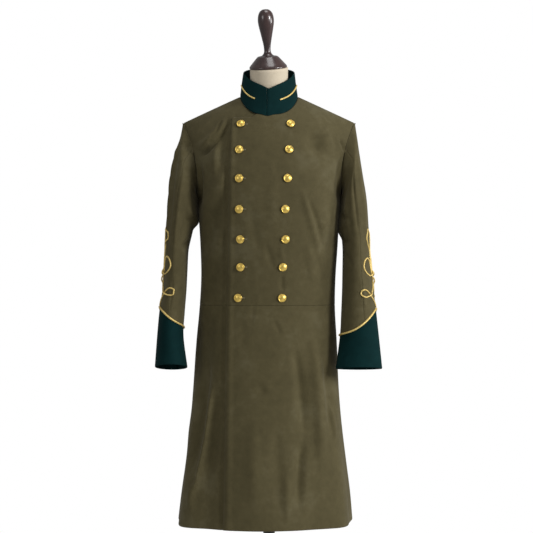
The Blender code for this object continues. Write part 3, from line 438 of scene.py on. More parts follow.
def body(angle, z, lift=0.0):
    """Outer surface of the coat's body at an angle from the front, positive towards +X, and a height."""
    angle, z = np.broadcast_arrays(np.asarray(angle, float), np.asarray(z, float))
    half_width, front, back, square, middle_x = np.moveaxis(between(BODY, z), -1, 0)
    power = 2 / square
    sine, cosine = np.sin(angle), np.cos(angle)
    depth = np.where(cosine > 0, front, back)
    x = half_width * np.sign(sine) * np.abs(sine) ** power
    rounding = np.where(cosine > 0, FRONT_ROUNDING, BACK_ROUNDING)
    below_seam = np.clip((shoulder_z(x) - z) / rounding, 0, 1)
    y = -depth * np.sign(cosine) * np.abs(cosine) ** power * np.sqrt(1 - (1 - below_seam) ** 2)
    out_x = np.sign(sine) * np.abs(sine) ** (2 - power) / half_width
    out_y = -np.sign(cosine) * np.abs(cosine) ** (2 - power) / depth
    length = np.hypot(out_x, out_y)
    out = lift + flute_rise(angle, z)
    return np.stack([middle_x + x + out * out_x / length, y + out * out_y / length, z], -1)


def angle_at(x, z):
    """Angle round the ring, on the front, of the point that far from the ring's middle."""
    half_width, _, _, square, _ = np.moveaxis(between(BODY, z), -1, 0)
    return np.sign(x) * np.arcsin(np.clip(np.abs(x) / half_width, 0, 1) ** (square / 2))


def layer_lift(angle, z):
    """The upper front lies over the lower one, and comes down to the body's surface past the overlap."""
    x = body(angle, z)[..., 0]
    past_overlap = eased((x - LAYER_FULL_X) / (LAYER_NONE_X - LAYER_FULL_X))
    return LAYER * (1 - past_overlap) * eased((shoulder_z(x) - z) / SHOULDER_SETTLING) * (np.cos(angle) > 0)


def armhole_turn(up):
    """Turn from the armhole's bottom (0) to its top (1), at a share of the way up."""
    return np.arccos(np.clip(up - 0.5 - 0.5 * np.cos(math.pi * up), -1, 1))


def armhole(turn):
    """(angle, height) on the body of the armhole, turned from its top towards the front."""
    sine = np.sin(turn)
    angle = math.pi / 2 - np.where(sine > 0, ARMHOLE_FRONT, ARMHOLE_BACK) * sine
    return angle, ARMHOLE_MIDDLE + ARMHOLE_HALF * np.cos(turn)


def shoulder(share):
    """(angle, height) on the front of the shoulder seam, from its outer end to the collar."""
    x = TIP_X + (NECK_X - TIP_X) * share
    z = shoulder_z(x)
    return angle_at(x, z), z


def side_line(v, front):
    """(angle, height) up a front's or back's side: side seam, armhole, then shoulder seam."""
    up_hole = np.clip((v - SIDE_SEAM_SHARE) / (ARMHOLE_SHARE - SIDE_SEAM_SHARE), 0, 1)
    turn = armhole_turn(up_hole)
    hole_angle, hole_z = armhole(turn if front else -turn)
    top_angle, top_z = shoulder(np.clip((v - ARMHOLE_SHARE) / (1 - ARMHOLE_SHARE), 0, 1))
    seam_z = WAIST_Z + (ARMPIT_Z - WAIST_Z) * np.clip(v / SIDE_SEAM_SHARE, 0, 1)
    angle = np.where(v < SIDE_SEAM_SHARE, math.pi / 2, np.where(v < ARMHOLE_SHARE, hole_angle,
                     top_angle if front else math.pi - top_angle))
    z = np.where(v < SIDE_SEAM_SHARE, seam_z, np.where(v < ARMHOLE_SHARE, hole_z, top_z))
    return np.stack([angle, z], -1)


def neckline(share, front):
    """(x, height) of the neck seam, from the centre to the shoulder seam."""
    turn = share * math.pi / 2
    middle_z, sharpness = (NECK_FRONT_Z, FRONT_NECK_SHARPNESS) if front else (NECK_BACK_Z, BACK_NECK_SHARPNESS)
    x = NECK_X * np.sin(turn)
    return x, shoulder_z(x) - (shoulder_z(0) - middle_z) * np.cos(turn) ** sharpness


def patch(u, v, *edges):
    """(angle, height) in a patch between four edges: left, right, bottom and top, which meet at its corners.

    Points between the edges are kept by the root of their depth below the shoulder line, so that none rises
    over it, and the right edge, which runs round the armhole, bends only the columns near it.
    """

    def hung(edge):
        def depth_edge(share):
            angle, z = np.moveaxis(edge(share), -1, 0)
            return np.stack([angle, np.sqrt(np.maximum(shoulder_z(body(angle, z)[..., 0]) - z, 0))], -1)

        return depth_edge

    def bend(edge, v):
        return edge(v[..., 0]) - (1 - v) * edge(np.zeros(1)) - v * edge(np.ones(1))

    left, right, bottom, top = (hung(edge) for edge in edges)
    u, v = u[..., None], v[..., None]
    ruled = (1 - v) * bottom(u[..., 0]) + v * top(u[..., 0])
    angle, root = np.moveaxis(ruled + (1 - u) * bend(left, v) + u**SIDE_BEND * bend(right, v), -1, 0)
    depth = np.maximum(root, 0) ** 2
    z = TIP_Z - depth
    for _ in range(SHOULDER_ROUNDS):  # the shoulder line's height depends on x, and x on the height
        z = shoulder_z(body(angle, z)[..., 0]) - depth
    return angle, z


def front_panel(u, v, side):
    """A front from its overlapping edge (u = 0) to its side, and from the waist seam (v = 0) up."""

    def edge(v):
        z = WAIST_Z + (LAPEL_Z - WAIST_Z) * v
        return np.stack([angle_at(-EDGE_X + (EDGE_X - LAPEL_EDGE_X) * v**LAPEL_CURVE, z), z], -1)

    def waist(u):
        start = angle_at(-EDGE_X, WAIST_Z)
        return np.stack([start + (math.pi / 2 - start) * u, np.full_like(u, WAIST_Z)], -1)

    def top(u):
        neck_x, neck_z = neckline(np.clip((u - LAPEL_SHARE) / (1 - LAPEL_SHARE), 0, 1), True)
        lapel_x = LAPEL_EDGE_X * (1 - np.clip(u / LAPEL_SHARE, 0, 1))
        seam_z = neckline(np.arcsin(np.clip(lapel_x / NECK_X, 0, 1)) / (math.pi / 2), True)[1]
        turned_up = eased((LAPEL_TURN_X[0] - lapel_x) / (LAPEL_TURN_X[0] - LAPEL_TURN_X[1]))
        x = np.where(u < LAPEL_SHARE, -lapel_x, neck_x)
        z = np.where(u < LAPEL_SHARE, LAPEL_Z + (seam_z - LAPEL_Z) * turned_up, neck_z)
        return np.stack([angle_at(x, z), z], -1)

    angle, z = patch(u, v, edge, lambda v: side_line(v, True), waist, top)
    if side == "left":
        return body(angle, z, layer_lift(angle, z))
    return body(-angle, z)


def back_panel(u, v, side):
    """A back from the centre back seam (u = 0) to its side, and from the waist seam up."""

    def centre(v):
        return np.stack([np.full_like(v, math.pi), WAIST_Z + (NECK_BACK_Z - WAIST_Z) * v], -1)

    def waist(u):
        return np.stack([math.pi * (1 - u / 2), np.full_like(u, WAIST_Z)], -1)

    def top(u):
        x, z = neckline(u, False)
        return np.stack([math.pi - angle_at(x, z), z], -1)

    angle, z = patch(u, v, centre, lambda v: side_line(v, False), waist, top)
    return body(angle if side == "left" else -angle, z)


def skirt_panel(u, v, side):
    """A skirt from its front edge (u = 0) to the centre back, and from the waist seam (v = 0) to the hem."""
    z = WAIST_Z + (HEM_Z - WAIST_Z) * v
    start = angle_at(-EDGE_X + (EDGE_X - HEM_EDGE_X) * v, z)
    angle = start + (math.pi - start) * u
    if side == "left":
        return body(angle, z, layer_lift(angle, z))
    return body(-angle, z)


def outward(surface, u, v):
    """Normals of a surface, by small steps that stay inside it."""
    step = NORMAL_STEP
    along_u = surface(np.minimum(u + step, 1), v) - surface(np.maximum(u - step, 0), v)
    along_v = surface(u, np.minimum(v + step, 1)) - surface(u, np.maximum(v - step, 0))
    normal = np.cross(along_u, along_v)
    return normal / np.linalg.norm(normal, axis=-1, keepdims=True)


def crease_rise(across, up, table):
    """How far creases raise or sink the cloth at places in the plane that the table is drawn in."""
    rise = np.zeros_like(across)
    for x0, z0, x1, z1, bow, width, height, fade in table:
        length = math.hypot(x1 - x0, z1 - z0)
        run_x, run_z = (x1 - x0) / length, (z1 - z0) / length
        share = ((across - x0) * run_x + (up - z0) * run_z) / length
        aside = (across - x0) * run_z - (up - z0) * run_x
        aside = aside - 4 * bow * share * (1 - share)
        ends = eased(share / fade) * eased((1 - share) / fade)
        narrowed = width * (CREASE_END_WIDTH + (1 - CREASE_END_WIDTH) * ends)
        rise += height * np.exp(-((aside / narrowed) ** 2)) * ends
    return rise


def body_creases(point):
    """Creases of fronts, backs and skirts, which fade where the body turns to its sides."""
    across, deep, up = np.moveaxis(point, -1, 0)
    facing = np.clip(np.abs(deep) / PLAIN_DEPTH, 0, 1)
    front, back = (crease_rise(across, up, table) for table in (FRONT_CREASES, BACK_CREASES))
    return facing * np.where(deep < 0, front, back)


def rows_between(count, length, marks=()):
    """Even rows from 0 to 1, with two more beside each edge for its roll, and one moved to each mark."""
    inner = np.linspace(0, 1, count + 1)[1:-1]
    near = np.array(ROLL_STEPS) / length
    inner = inner[(inner > near[-1] * 1.5) & (inner < 1 - near[-1] * 1.5)]
    for mark in marks:
        inner[np.abs(inner - mark).argmin()] = mark
    return np.concatenate([[0], near, inner, 1 - near[::-1], [1]])


def rolled(points, normal, edges):
    """Draws the edges of a grid of points in at its seams, and rolls them inwards.

    The four letters of edges are for the start and end of u and of v: f for a free pressed edge, and any other
    for a sewn one.
    """
    points = points.copy()
    for swap in (False, True):
        grid, out = (points.swapaxes(0, 1), normal.swapaxes(0, 1)) if swap else (points, normal)
        for edge, inner, kind in ((0, 1, edges[2 * swap]), (-1, -2, edges[2 * swap + 1])):
            depth = ROLL if kind == "f" else SEAM_ROLL
            step = grid[inner] - grid[edge]
            grid[edge] += step * (TRIM / np.linalg.norm(step, axis=-1, keepdims=True))
            grid[edge] -= out[edge] * depth
            grid[inner] -= out[inner] * depth * ROLL_SHARE
    return points


def tucked(points, normal, cut, edges, wall, tuck_share=None):
    """Adds a seam allowance past each edge marked t: one row goes straight in, and one on under the next piece.

    One marked h is a sleeve's head, whose allowance goes in round the armhole.
    """
    for number, kind in enumerate(edges):
        if kind not in "th":
            continue
        if number > 1:
            points, normal, cut = (grid.swapaxes(0, 1) for grid in (points, normal, cut))
        at_start = number % 2 == 0
        edge, inner = (0, 1) if at_start else (-1, -2)
        onward = points[edge] - points[inner]
        onward /= np.linalg.norm(onward, axis=-1, keepdims=True)
        if tuck_share is not None:
            onward = onward * tuck_share[:, None]
        inward = -normal[edge]
        if kind == "h":
            inward = points[edge] * [0, -1, -1] + [0, 0, ARMHOLE_MIDDLE]
            inward /= np.linalg.norm(inward, axis=-1, keepdims=True)
            onward = -np.sign(points[edge]) * [1, 0, 0]
        down = points[edge] + inward * (wall + TUCK_GAP)
        away = cut[edge] - cut[inner]
        away /= np.linalg.norm(away, axis=-1, keepdims=True)
        added = (
            (points, (down, down + onward * TUCK)),
            (normal, (normal[edge], normal[edge])),
            (cut, (cut[edge] + away * wall, cut[edge] + away * (wall + TUCK))),
        )
        points, normal, cut = (
            np.concatenate([rows[::-1], grid] if at_start else [grid, rows]) for grid, rows in added)
        if number > 1:
            points, normal, cut = (grid.swapaxes(0, 1) for grid in (points, normal, cut))
    return points, cut


def grid_mesh(name, points, cut):
    """A sheet of quads through a grid of points, with a UV map in metres of flat cloth."""
    across, along = points.shape[:2]
    bm = bmesh.new()
    bmesh.ops.create_grid(bm, x_segments=across - 1, y_segments=along - 1, size=0.5)
    mesh = bpy.data.meshes.new(name)
    bm.to_mesh(mesh)
    bm.free()
    place = np.empty(len(mesh.vertices) * 3, np.float32)
    mesh.vertices.foreach_get("co", place)
    column = np.rint((place[0::3] + 0.5) * (across - 1)).astype(int)
    row = np.rint((place[1::3] + 0.5) * (along - 1)).astype(int)
    corner = np.empty(len(mesh.loops), np.int32)
    mesh.loops.foreach_get("vertex_index", corner)
    mesh.uv_layers.new(name="cut").data.foreach_set("uv", cut[column[corner], row[corner]].ravel())
    mesh.vertices.foreach_set("co", points[column, row].astype(np.float32).ravel())
    mesh.update()
    return mesh


def add_piece(name, mesh, finish, slot, *nodes):
    """Links a finished piece, which rides on the coat's one body and stands for its CAD nodes."""
    piece = bpy.data.objects.new(name, mesh)
    bpy.context.scene.collection.objects.link(piece)
    mesh.materials.append(finish)
    mesh.shade_smooth()
    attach(piece, "root")
    if nodes:
        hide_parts(*nodes)
    return piece


def add_cloth(name, surface, counts, flat, finish, slot, creases, edges, wall=WALL, flip=False,
              level=False, marks=(), tuck_share=None, unrolled=None):
    """A cut piece on its surface: creased, rolled at its edges, and given its thickness inwards.

    level keeps its thickness horizontal, tuck_share shortens its allowances, and unrolled places its weave.
    """
    u, v = np.meshgrid(rows_between(counts[0], flat[0]), rows_between(counts[1], flat[1], marks), indexing="ij")
    normal = outward(surface, u, v) * (-1 if flip else 1)
    for _ in range(NORMAL_SMOOTHING):
        normal[:, 1:-1] = (normal[:, :-2] + normal[:, 1:-1] + normal[:, 2:]) / 3
    if level:
        normal[..., 2] = 0
    normal /= np.linalg.norm(normal, axis=-1, keepdims=True)
    point = surface(u, v)
    # fronts and backs meet square at the shoulder and side seams
    normal[np.abs(point[..., 1]) < ON_SEAM, 1] = 0
    to_edges = (u * flat[0], (1 - u) * flat[0], v * flat[1], (1 - v) * flat[1])
    to_seam = np.min([away for away, kind in zip(to_edges, edges) if kind != "f"], axis=0)
    rise = creases(point, u, v) * (SEAM_CREASES + (1 - SEAM_CREASES) * eased(to_seam / FULL_CREASES))
    cut = np.stack([u * flat[0], v * flat[1]], -1) if unrolled is None else unrolled(point)
    share = None if tuck_share is None else tuck_share(v[0])
    creased = rolled(point + normal * rise[..., None], normal, edges)
    shaped, cut = tucked(creased, normal, cut, edges, wall, share)
    mesh = grid_mesh(name, shaped, cut)
    bm = bmesh.new()
    bm.from_mesh(mesh)
    bm.faces.ensure_lookup_table()
    middle = bm.faces[len(bm.faces) // 2]
    near = np.linalg.norm(point - np.array(middle.calc_center_median()), axis=-1)
    if middle.normal.dot(Vector(normal[np.unravel_index(near.argmin(), near.shape)])) < 0:
        bmesh.ops.reverse_faces(bm, faces=bm.faces)
    bm.to_mesh(mesh)
    bm.free()
    piece = add_piece(name + "_cloth", mesh, finish, slot, name)
    solid = piece.modifiers.new("thickness", "SOLIDIFY")
    solid.thickness = wall
    solid.offset = -1
    return piece


def on_body(point, u, v):
    return body_creases(point)


def unroll_left(point, side=1):
    """Places on the cloth in metres: round the body, and up."""
    return np.stack([UNROLLED_RADIUS * np.arctan2(point[..., 0] * side + BACK_PAST_MIDDLE, -point[..., 1]),
                     point[..., 2]], -1)


def unroll_right(point):
    return unroll_left(point, -1)


def off_armhole(v):
    """The side and shoulder seams' allowances run on under the back; the armhole's only turns in."""
    past_hole = np.maximum(SIDE_SEAM_SHARE - v, v - ARMHOLE_SHARE)
    return eased(past_hole / ALLOWANCE_START)


for side in ("left", "right"):
    on_left = side == "left"
    for name, panel, counts, flat, area, edges, flip, marks, tuck_share in (
        ("front", front_panel, (120, 130), (0.36, 0.58), 0.200, "ftsf", not on_left, HOLE_MARKS, off_armhole),
        ("back", back_panel, (76, 120), (0.26, 0.60), 0.142, "tsss" if on_left else "ssss", on_left,
         HOLE_MARKS, None),
        ("skirt", skirt_panel, (170, 96), (0.74, 0.61), 0.425, "fttf" if on_left else "fstf", on_left,
         (), None),
    ):
        add_cloth(f"{name}_{side}", lambda u, v: panel(u, v, side), counts, flat, OLIVE_WOOL, "olive_cloth",
                  on_body, edges, flip=flip, marks=marks, tuck_share=tuck_share,
                  unrolled=unroll_left if on_left else unroll_right)


# ---- Sleeves and cuffs ----
# Each sleeve is cut in two pieces, top and under, and set into the armhole with its head rolled over the
# seam. It hangs a little forward. The cuff is a band of green wool with a pointed top, seamed behind.
FRONT_SEAM, BACK_SEAM, ARMHOLE_STEPS = 5, 7, 12  # where the seams start, in steps down the armhole
CUFF_GAP_ROWS = 0.006
CUFF_WALL = 0.0024
CUFF_WAVE, CUFF_WAVES, CUFF_WAVE_START = 0.0008, 9, 3
SLEEVES = {  # outer_x, outer_z, inner_x, inner_z, centre_y, half_depth, pitch
    "left": (
        (0.2420, 1.354, 0.2060, 1.180, -0.001, 0.076, 0.00),
        (0.2470, 1.318, 0.2045, 1.150, -0.003, 0.082, 0.00),
        (0.2565, 1.255, 0.2015, 1.118, -0.007, 0.083, 0.02),
        (0.2675, 1.185, 0.1995, 1.085, -0.012, 0.080, 0.04),
        (0.2725, 1.109, 0.2015, 1.045, -0.019, 0.077, 0.07),
        (0.2770, 1.022, 0.2005, 0.990, -0.029, 0.072, 0.09),
        (0.2830, 0.955, 0.1990, 0.935, -0.039, 0.066, 0.11),
        (0.2905, 0.883, 0.1960, 0.873, -0.051, 0.060, 0.13),
        (0.2975, 0.816, 0.1920, 0.812, -0.064, 0.053, 0.14),
        (0.3063, 0.724, 0.1790, 0.724, -0.083, 0.044, 0.14),
    ),
    "right": (
        (0.2440, 1.354, 0.2060, 1.180, -0.001, 0.076, 0.00),
        (0.2560, 1.318, 0.2050, 1.150, -0.003, 0.082, 0.00),
        (0.2705, 1.255, 0.2050, 1.118, -0.006, 0.083, 0.02),
        (0.2770, 1.185, 0.2120, 1.085, -0.010, 0.081, 0.04),
        (0.2815, 1.109, 0.2205, 1.045, -0.015, 0.079, 0.08),
        (0.2852, 1.022, 0.2232, 0.990, -0.022, 0.074, 0.11),
        (0.2885, 0.955, 0.2256, 0.935, -0.030, 0.069, 0.14),
        (0.2980, 0.883, 0.2300, 0.873, -0.040, 0.065, 0.17),
        (0.3040, 0.816, 0.2325, 0.812, -0.050, 0.062, 0.18),
        (0.3100, 0.727, 0.2204, 0.727, -0.066, 0.0605, 0.18),
    ),
}
LAST_ROW = len(SLEEVES["left"])
CUFF_TOP = {
    "left": {"point_row": 7.97, "low_row": 8.97, "sharpness": 2.5, "turn": math.radians(6)},
    "right": {"point_row": 7.92, "low_row": 8.64, "sharpness": 2.0, "turn": math.radians(3)},
}

# Creases of a sleeve, in tenths of a turn from its outer side round the front, and rows down the sleeve: there
# a tenth of a turn and a row are each about 60 mm.
SLEEVE_CREASES = {  # turn0, row0, turn1, row1, bow, width, rise, fade
    "left": (
        (5.0, 0.0, 5.0, 4.4, 0.0, 1.40, 0.0125, 0.20),
        (2.4, 1.2, 2.1, 5.6, 0.10, 0.26, -0.0058, 0.35),
        (1.5, 1.0, 1.4, 6.4, -0.08, 0.24, 0.0054, 0.35),
        (3.5, 1.4, 3.3, 5.2, 0.10, 0.20, 0.0050, 0.40),
        (4.4, 2.2, 3.0, 3.9, 0.12, 0.14, -0.0054, 0.45),
        (4.6, 4.2, 3.2, 5.0, 0.10, 0.12, -0.0050, 0.45),
        (4.4, 5.2, 2.9, 6.2, -0.08, 0.12, -0.0040, 0.45),
        (2.2, 6.2, 1.9, 8.6, 0.05, 0.18, 0.0032, 0.45),
        (0.6, 2.0, 0.5, 6.0, 0.06, 0.20, -0.0032, 0.45),
        (-1.6, 1.5, -1.8, 6.0, 0.10, 0.22, -0.0054, 0.40),
        (-2.8, 2.0, -2.6, 7.0, 0.10, 0.20, 0.0047, 0.40),
        (-4.4, 4.0, -2.8, 5.0, 0.08, 0.13, -0.0047, 0.45),
    ),
    "right": (
        (5.0, 0.0, 5.0, 3.6, 0.0, 1.40, 0.0125, 0.22),
        (0.70, 0.9, 1.22, 6.2, 0.06, 0.085, 0.0061, 0.20),
        (0.42, 1.1, 0.92, 6.0, 0.06, 0.120, -0.0043, 0.30),
        (1.10, 1.0, 1.62, 5.4, 0.08, 0.200, -0.0032, 0.40),
        (2.3, 1.2, 2.5, 5.8, -0.08, 0.26, 0.0043, 0.40),
        (3.3, 1.5, 3.2, 5.6, 0.06, 0.22, -0.0047, 0.40),
        (4.4, 2.4, 3.1, 3.8, 0.12, 0.14, -0.0050, 0.45),
        (4.5, 4.4, 3.2, 5.3, 0.10, 0.12, -0.0047, 0.45),
        (2.2, 6.4, 2.4, 8.4, 0.05, 0.18, -0.0029, 0.45),
        (-1.5, 1.4, -1.8, 6.2, 0.10, 0.22, -0.0050, 0.40),
        (-2.8, 1.8, -2.6, 6.8, 0.10, 0.20, 0.0050, 0.40),
        (-4.4, 3.8, -2.9, 4.8, 0.08, 0.13, -0.0043, 0.45),
    ),
}


def sleeve(turn, row, side):
    """Outer surface of a sleeve, turned from its outer side towards the front, at a row of its sections."""
    turn, row = np.broadcast_arrays(np.asarray(turn, float), np.asarray(row, float))
    hole_angle, hole_z = armhole(turn)
    seam = 2 * SEAM + WALL * np.clip(np.cos(turn), 0, 1) ** 2  # wider at the top, where the sleeve rolls over
    start = body(hole_angle, hole_z) + seam[..., None] * [1, 0, 0]
    rings = [start]
    for outer_x, outer_z, inner_x, inner_z, centre_y, half_depth, pitch in SLEEVES[side]:
        across, forward = np.cos(turn), np.sin(turn) * half_depth
        rings.append(np.stack([
            (outer_x + inner_x) / 2 + (outer_x - inner_x) / 2 * across,
            centre_y - forward,
            (outer_z + inner_z) / 2 + (outer_z - inner_z) / 2 * across + pitch * forward,
        ], -1))
    rings = np.array(rings)
    slopes = np.gradient(rings, axis=0)
    low = np.clip(row.astype(int), 0, len(rings) - 2)
    t = (row - low)[..., None]

    def pick(values, index):
        return np.take_along_axis(values, index[None, ..., None], axis=0)[0]

    point = (
        pick(rings, low) * (2 * t**3 - 3 * t**2 + 1)
        + pick(rings, low + 1) * (3 * t**2 - 2 * t**3)
        + pick(slopes, low) * (t**3 - 2 * t**2 + t)
        + pick(slopes, low + 1) * (t**3 - t**2)
    )
    return point * [1 if side == "left" else -1, 1, 1]


STEP_TURNS = armhole_turn(np.linspace(1, 0, ARMHOLE_STEPS + 1))
FRONT_TURN, BACK_TURN = STEP_TURNS[FRONT_SEAM], -STEP_TURNS[BACK_SEAM]


def cuff_row(turn, side):
    """Row of the sleeve's sections where the cuff's pointed top seam is."""
    top = CUFF_TOP[side]
    pointing = ((1 + np.cos(turn - top["turn"])) / 2) ** top["sharpness"]
    return top["low_row"] + (top["point_row"] - top["low_row"]) * pointing


def sleeve_creases(turn, row, side):
    """Rise of a sleeve's creases, which run on where its turns start again."""
    tenths = turn / math.tau * 10
    return sum(crease_rise(tenths + wrap, row, SLEEVE_CREASES[side]) for wrap in (-10, 0, 10))


for side in ("left", "right"):
    on_left = side == "left"
    for name, last_turn, counts, flat, area, edges, flip in (
        ("top_sleeve", BACK_TURN, (64, 120), (0.24, 0.60), 0.095, "sshs", on_left),
        ("under_sleeve", BACK_TURN + math.tau, (50, 110), (0.20, 0.50), 0.076, "tths", not on_left),
    ):
        def turned(u):
            return FRONT_TURN + (last_turn - FRONT_TURN) * u

        def row_at(u, v):
            return v * (cuff_row(turned(u), side) - CUFF_GAP_ROWS)

        add_cloth(f"{name}_{side}", lambda u, v: sleeve(turned(u), row_at(u, v), side), counts, flat,
                  OLIVE_WOOL, "olive_cloth", lambda point, u, v: sleeve_creases(turned(u), row_at(u, v), side),
                  edges, flip=flip)

    def cuff(u, v):
        turn = BACK_TURN + math.tau * u
        top = cuff_row(turn, side) + CUFF_GAP_ROWS
        return sleeve(turn, top + (LAST_ROW - top) * v, side)

    add_cloth(f"cuff_{side}", cuff, (120, 44), (0.30, 0.17), GREEN_WOOL, "green_facing",
              lambda point, u, v: CUFF_WAVE * np.sin(CUFF_WAVES * u + CUFF_WAVE_START) * eased(v), "tssf",
              flip=not on_left, wall=CUFF_WALL)


# ---- Collar ----
# A stand collar of green wool over a stiff canvas, 3 mm thick with soft edges. Its two ends meet a little off
# the centre front, where the two halves stand at an angle to each other like a prow.
COLLAR_TOP_X, COLLAR_TOP_FRONT, COLLAR_TOP_BACK = 0.0705, 0.080, 0.052
COLLAR_TOP_FRONT_Z, COLLAR_TOP_SIDE_Z, COLLAR_TOP_BACK_Z = 1.481, 1.534, 1.552
COLLAR_CLOSING = math.radians(-5)
COLLAR_WALL = 0.003
COLLAR_LAP, COLLAR_PROUD = 0.0010, 0.0016  # how far its foot laps down over the neck edge, and stands off it
COLLAR_FOOT_POINT, COLLAR_POINT_X, COLLAR_POINT_WIDTH = 0.0050, -0.004, 0.013
COLLAR_TOP_FLATNESS, COLLAR_TOP_POINT = 0.25, 0.9
COLLAR_RISE, COLLAR_LATE_RISE, COLLAR_LATE_POWER = 0.67, 0.33, 8
COLLAR_STEP, COLLAR_STEP_WIDTH = 0.020, 0.030
COLLAR_WAVE, COLLAR_WAVES, COLLAR_WAVE_START = 0.0006, 17, 1


def collar(u, v):
    """The collar from where its ends meet, past +X, round the back, and from the neck seam (v = 0) up."""
    turn = np.asarray(COLLAR_CLOSING + u * math.tau, float)
    v = np.asarray(v, float)
    front = np.cos(turn) > 0
    side = np.where(np.sin(turn) < 0, -1.0, 1.0)
    quarter = np.abs((turn + math.pi / 2) % math.pi - math.pi / 2) / (math.pi / 2)
    front_x, front_z = neckline(quarter, True)
    back_x, back_z = neckline(quarter, False)
    seam_x, seam_z = np.where(front, front_x, back_x), np.where(front, front_z, back_z)
    seam_angle = angle_at(seam_x, seam_z)
    on_upper_front = eased((seam_x * side + LAPEL_TURN_X[0] + COLLAR_STEP) / COLLAR_STEP_WIDTH) * front
    lift = LAYER * on_upper_front * eased((shoulder_z(seam_x) - seam_z) / SHOULDER_SETTLING)
    off_point = (seam_x * side - COLLAR_POINT_X) / COLLAR_POINT_WIDTH
    seam_z = seam_z - COLLAR_LAP - COLLAR_FOOT_POINT * np.exp(-(off_point**2)) * front
    low = body(np.where(front, seam_angle, math.pi - seam_angle), seam_z, lift + COLLAR_PROUD)
    sine, cosine = np.sin(quarter * math.pi / 2), np.cos(quarter * math.pi / 2)
    front_y = -COLLAR_TOP_FRONT * (1 - COLLAR_TOP_FLATNESS * sine) * cosine**COLLAR_TOP_POINT
    climb = COLLAR_RISE * sine + COLLAR_LATE_RISE * sine**COLLAR_LATE_POWER
    high = np.stack([
        COLLAR_TOP_X * sine,
        np.where(front, front_y, COLLAR_TOP_BACK * cosine),
        np.where(front, COLLAR_TOP_FRONT_Z + (COLLAR_TOP_SIDE_Z - COLLAR_TOP_FRONT_Z) * climb,
                 COLLAR_TOP_SIDE_Z + (COLLAR_TOP_BACK_Z - COLLAR_TOP_SIDE_Z) * cosine),
    ], -1)
    return (low + (high - low) * v[..., None]) * np.stack([side, np.ones_like(side), np.ones_like(side)], -1)


add_cloth("collar", collar, (200, 40), (0.44, 0.09), GREEN_WOOL, "green_facing",
          lambda point, u, v: COLLAR_WAVE * np.sin(COLLAR_WAVES * u + COLLAR_WAVE_START) * np.sin(math.pi * v),
          "fsff", wall=COLLAR_WALL, level=True)


# ---- Braid ----
# Gold cord, twisted from three strands of metal thread over a cotton core and sewn down along the cuff's edge,
# round the collar and, as one long looped knot, up each forearm.
CORD_RADIUS = {"cuff": 0.0026, "knot": 0.0019, "collar": 0.0020}
CORD_CLEARANCE = -0.0012  # the cord is pulled a little into the nap
CORD_STEP, CORD_SIDES = 0.0011, 15
CORD_STRANDS, CORD_LAY, CORD_GROOVE = 3, 0.0105, 0.13
CORD_STEEP, CORD_MERGE = 0.3, 0.02  # sine from upright of a steep stretch, and radii between points that merge
SLEEVE_STEP = 0.01
KNOT = (  # across, up, over
    (0.0040, 0.0050, 0),
    (0.0150, 0.0175, 0),
    (0.0270, 0.0300, 0),
    (0.0370, 0.0430, 0),
    (0.0455, 0.0510, 0),
    (0.0550, 0.0500, 0),
    (0.0590, 0.0415, 0),
    (0.0550, 0.0330, 0),
    (0.0460, 0.0300, 0),
    (0.0340, 0.0350, 1),
    (0.0210, 0.0450, 0),
    (0.0090, 0.0600, 0),
    (0.0000, 0.0780, 0),
    (-0.0070, 0.0930, 0),
    (-0.0100, 0.1120, 0),
    (-0.0130, 0.1300, 0),
    (-0.0230, 0.1400, 0),
    (-0.0350, 0.1330, 0),
    (-0.0400, 0.1150, 0),
    (-0.0330, 0.0980, 0),
    (-0.0190, 0.0895, 0),
    (-0.0070, 0.0955, 1),
    (-0.0027, 0.1100, 0),
    (-0.0027, 0.1350, 0),
    (-0.0040, 0.1590, 0),
    (-0.0130, 0.1780, 0),
    (-0.0210, 0.1960, 0),
    (-0.0150, 0.2130, 0),
    (0.0000, 0.2200, 0),
)
KNOT_MIDDLE_CROSSING = 0.078
KNOT_SPREAD = {"left": 1.15, "right": 1.32}
KNOT_LEAN = 0.15
CROSSING_REACH, CROSSING_LIFT, CROSSING_HOLD = 0.011, 2.4, 1.3
KNOT_POINTS, KNOT_TOP_ROW = 420, 3.5
LAY_ROWS, LAY_TURNS, LAY_REACH = 60, 81, 1.6  # the sleeve is measured at these rows, and turns either way
COLLAR_BRAID_AT = 0.465
COLLAR_BRAID_START = math.radians(23), math.radians(31)

THREAD = 0.0007  # from one metal thread to the next
GOLD_THREAD, shader, uv, place = new_finish("gold_thread", {"Metallic": 0.35, "Specular IOR Level": 0.5})
threads = (uv.axis(0) + uv.axis(1) * 0.6).wave(THREAD)
tarnish = place.noise(160.0, 3.0, 0.6)
gold = (0.35 + threads * 0.3 + (tarnish - 0.5) * 0.9).clamped()
feed(shader, {"Base Color": gold.blend((0.56, 0.36, 0.08, 1), (0.98, 0.78, 0.30, 1)),
              "Roughness": 0.36 + (1 - threads) * 0.2}, height=threads, distance=0.0002, strength=0.5)


def path_length(points):
    """Distance along a line of points, from its start to each point."""
    return np.append(0, np.cumsum(np.linalg.norm(np.diff(points, axis=0), axis=1)))


def on_sleeve(turn, row, side, lift):
    """A point laid on a sleeve's creased surface and moved out from it."""
    turn, row = np.broadcast_arrays(np.asarray(turn, float), np.asarray(row, float))
    point = sleeve(turn, row, side)
    onward, down = sleeve(turn + SLEEVE_STEP, row, side), sleeve(turn, row + SLEEVE_STEP, side)
    normal = np.cross(onward - point, down - point)
    normal *= (-1 if side == "right" else 1) / np.linalg.norm(normal, axis=-1, keepdims=True)
    return point + normal * (np.asarray(lift) + sleeve_creases(turn, row, side))[..., None]


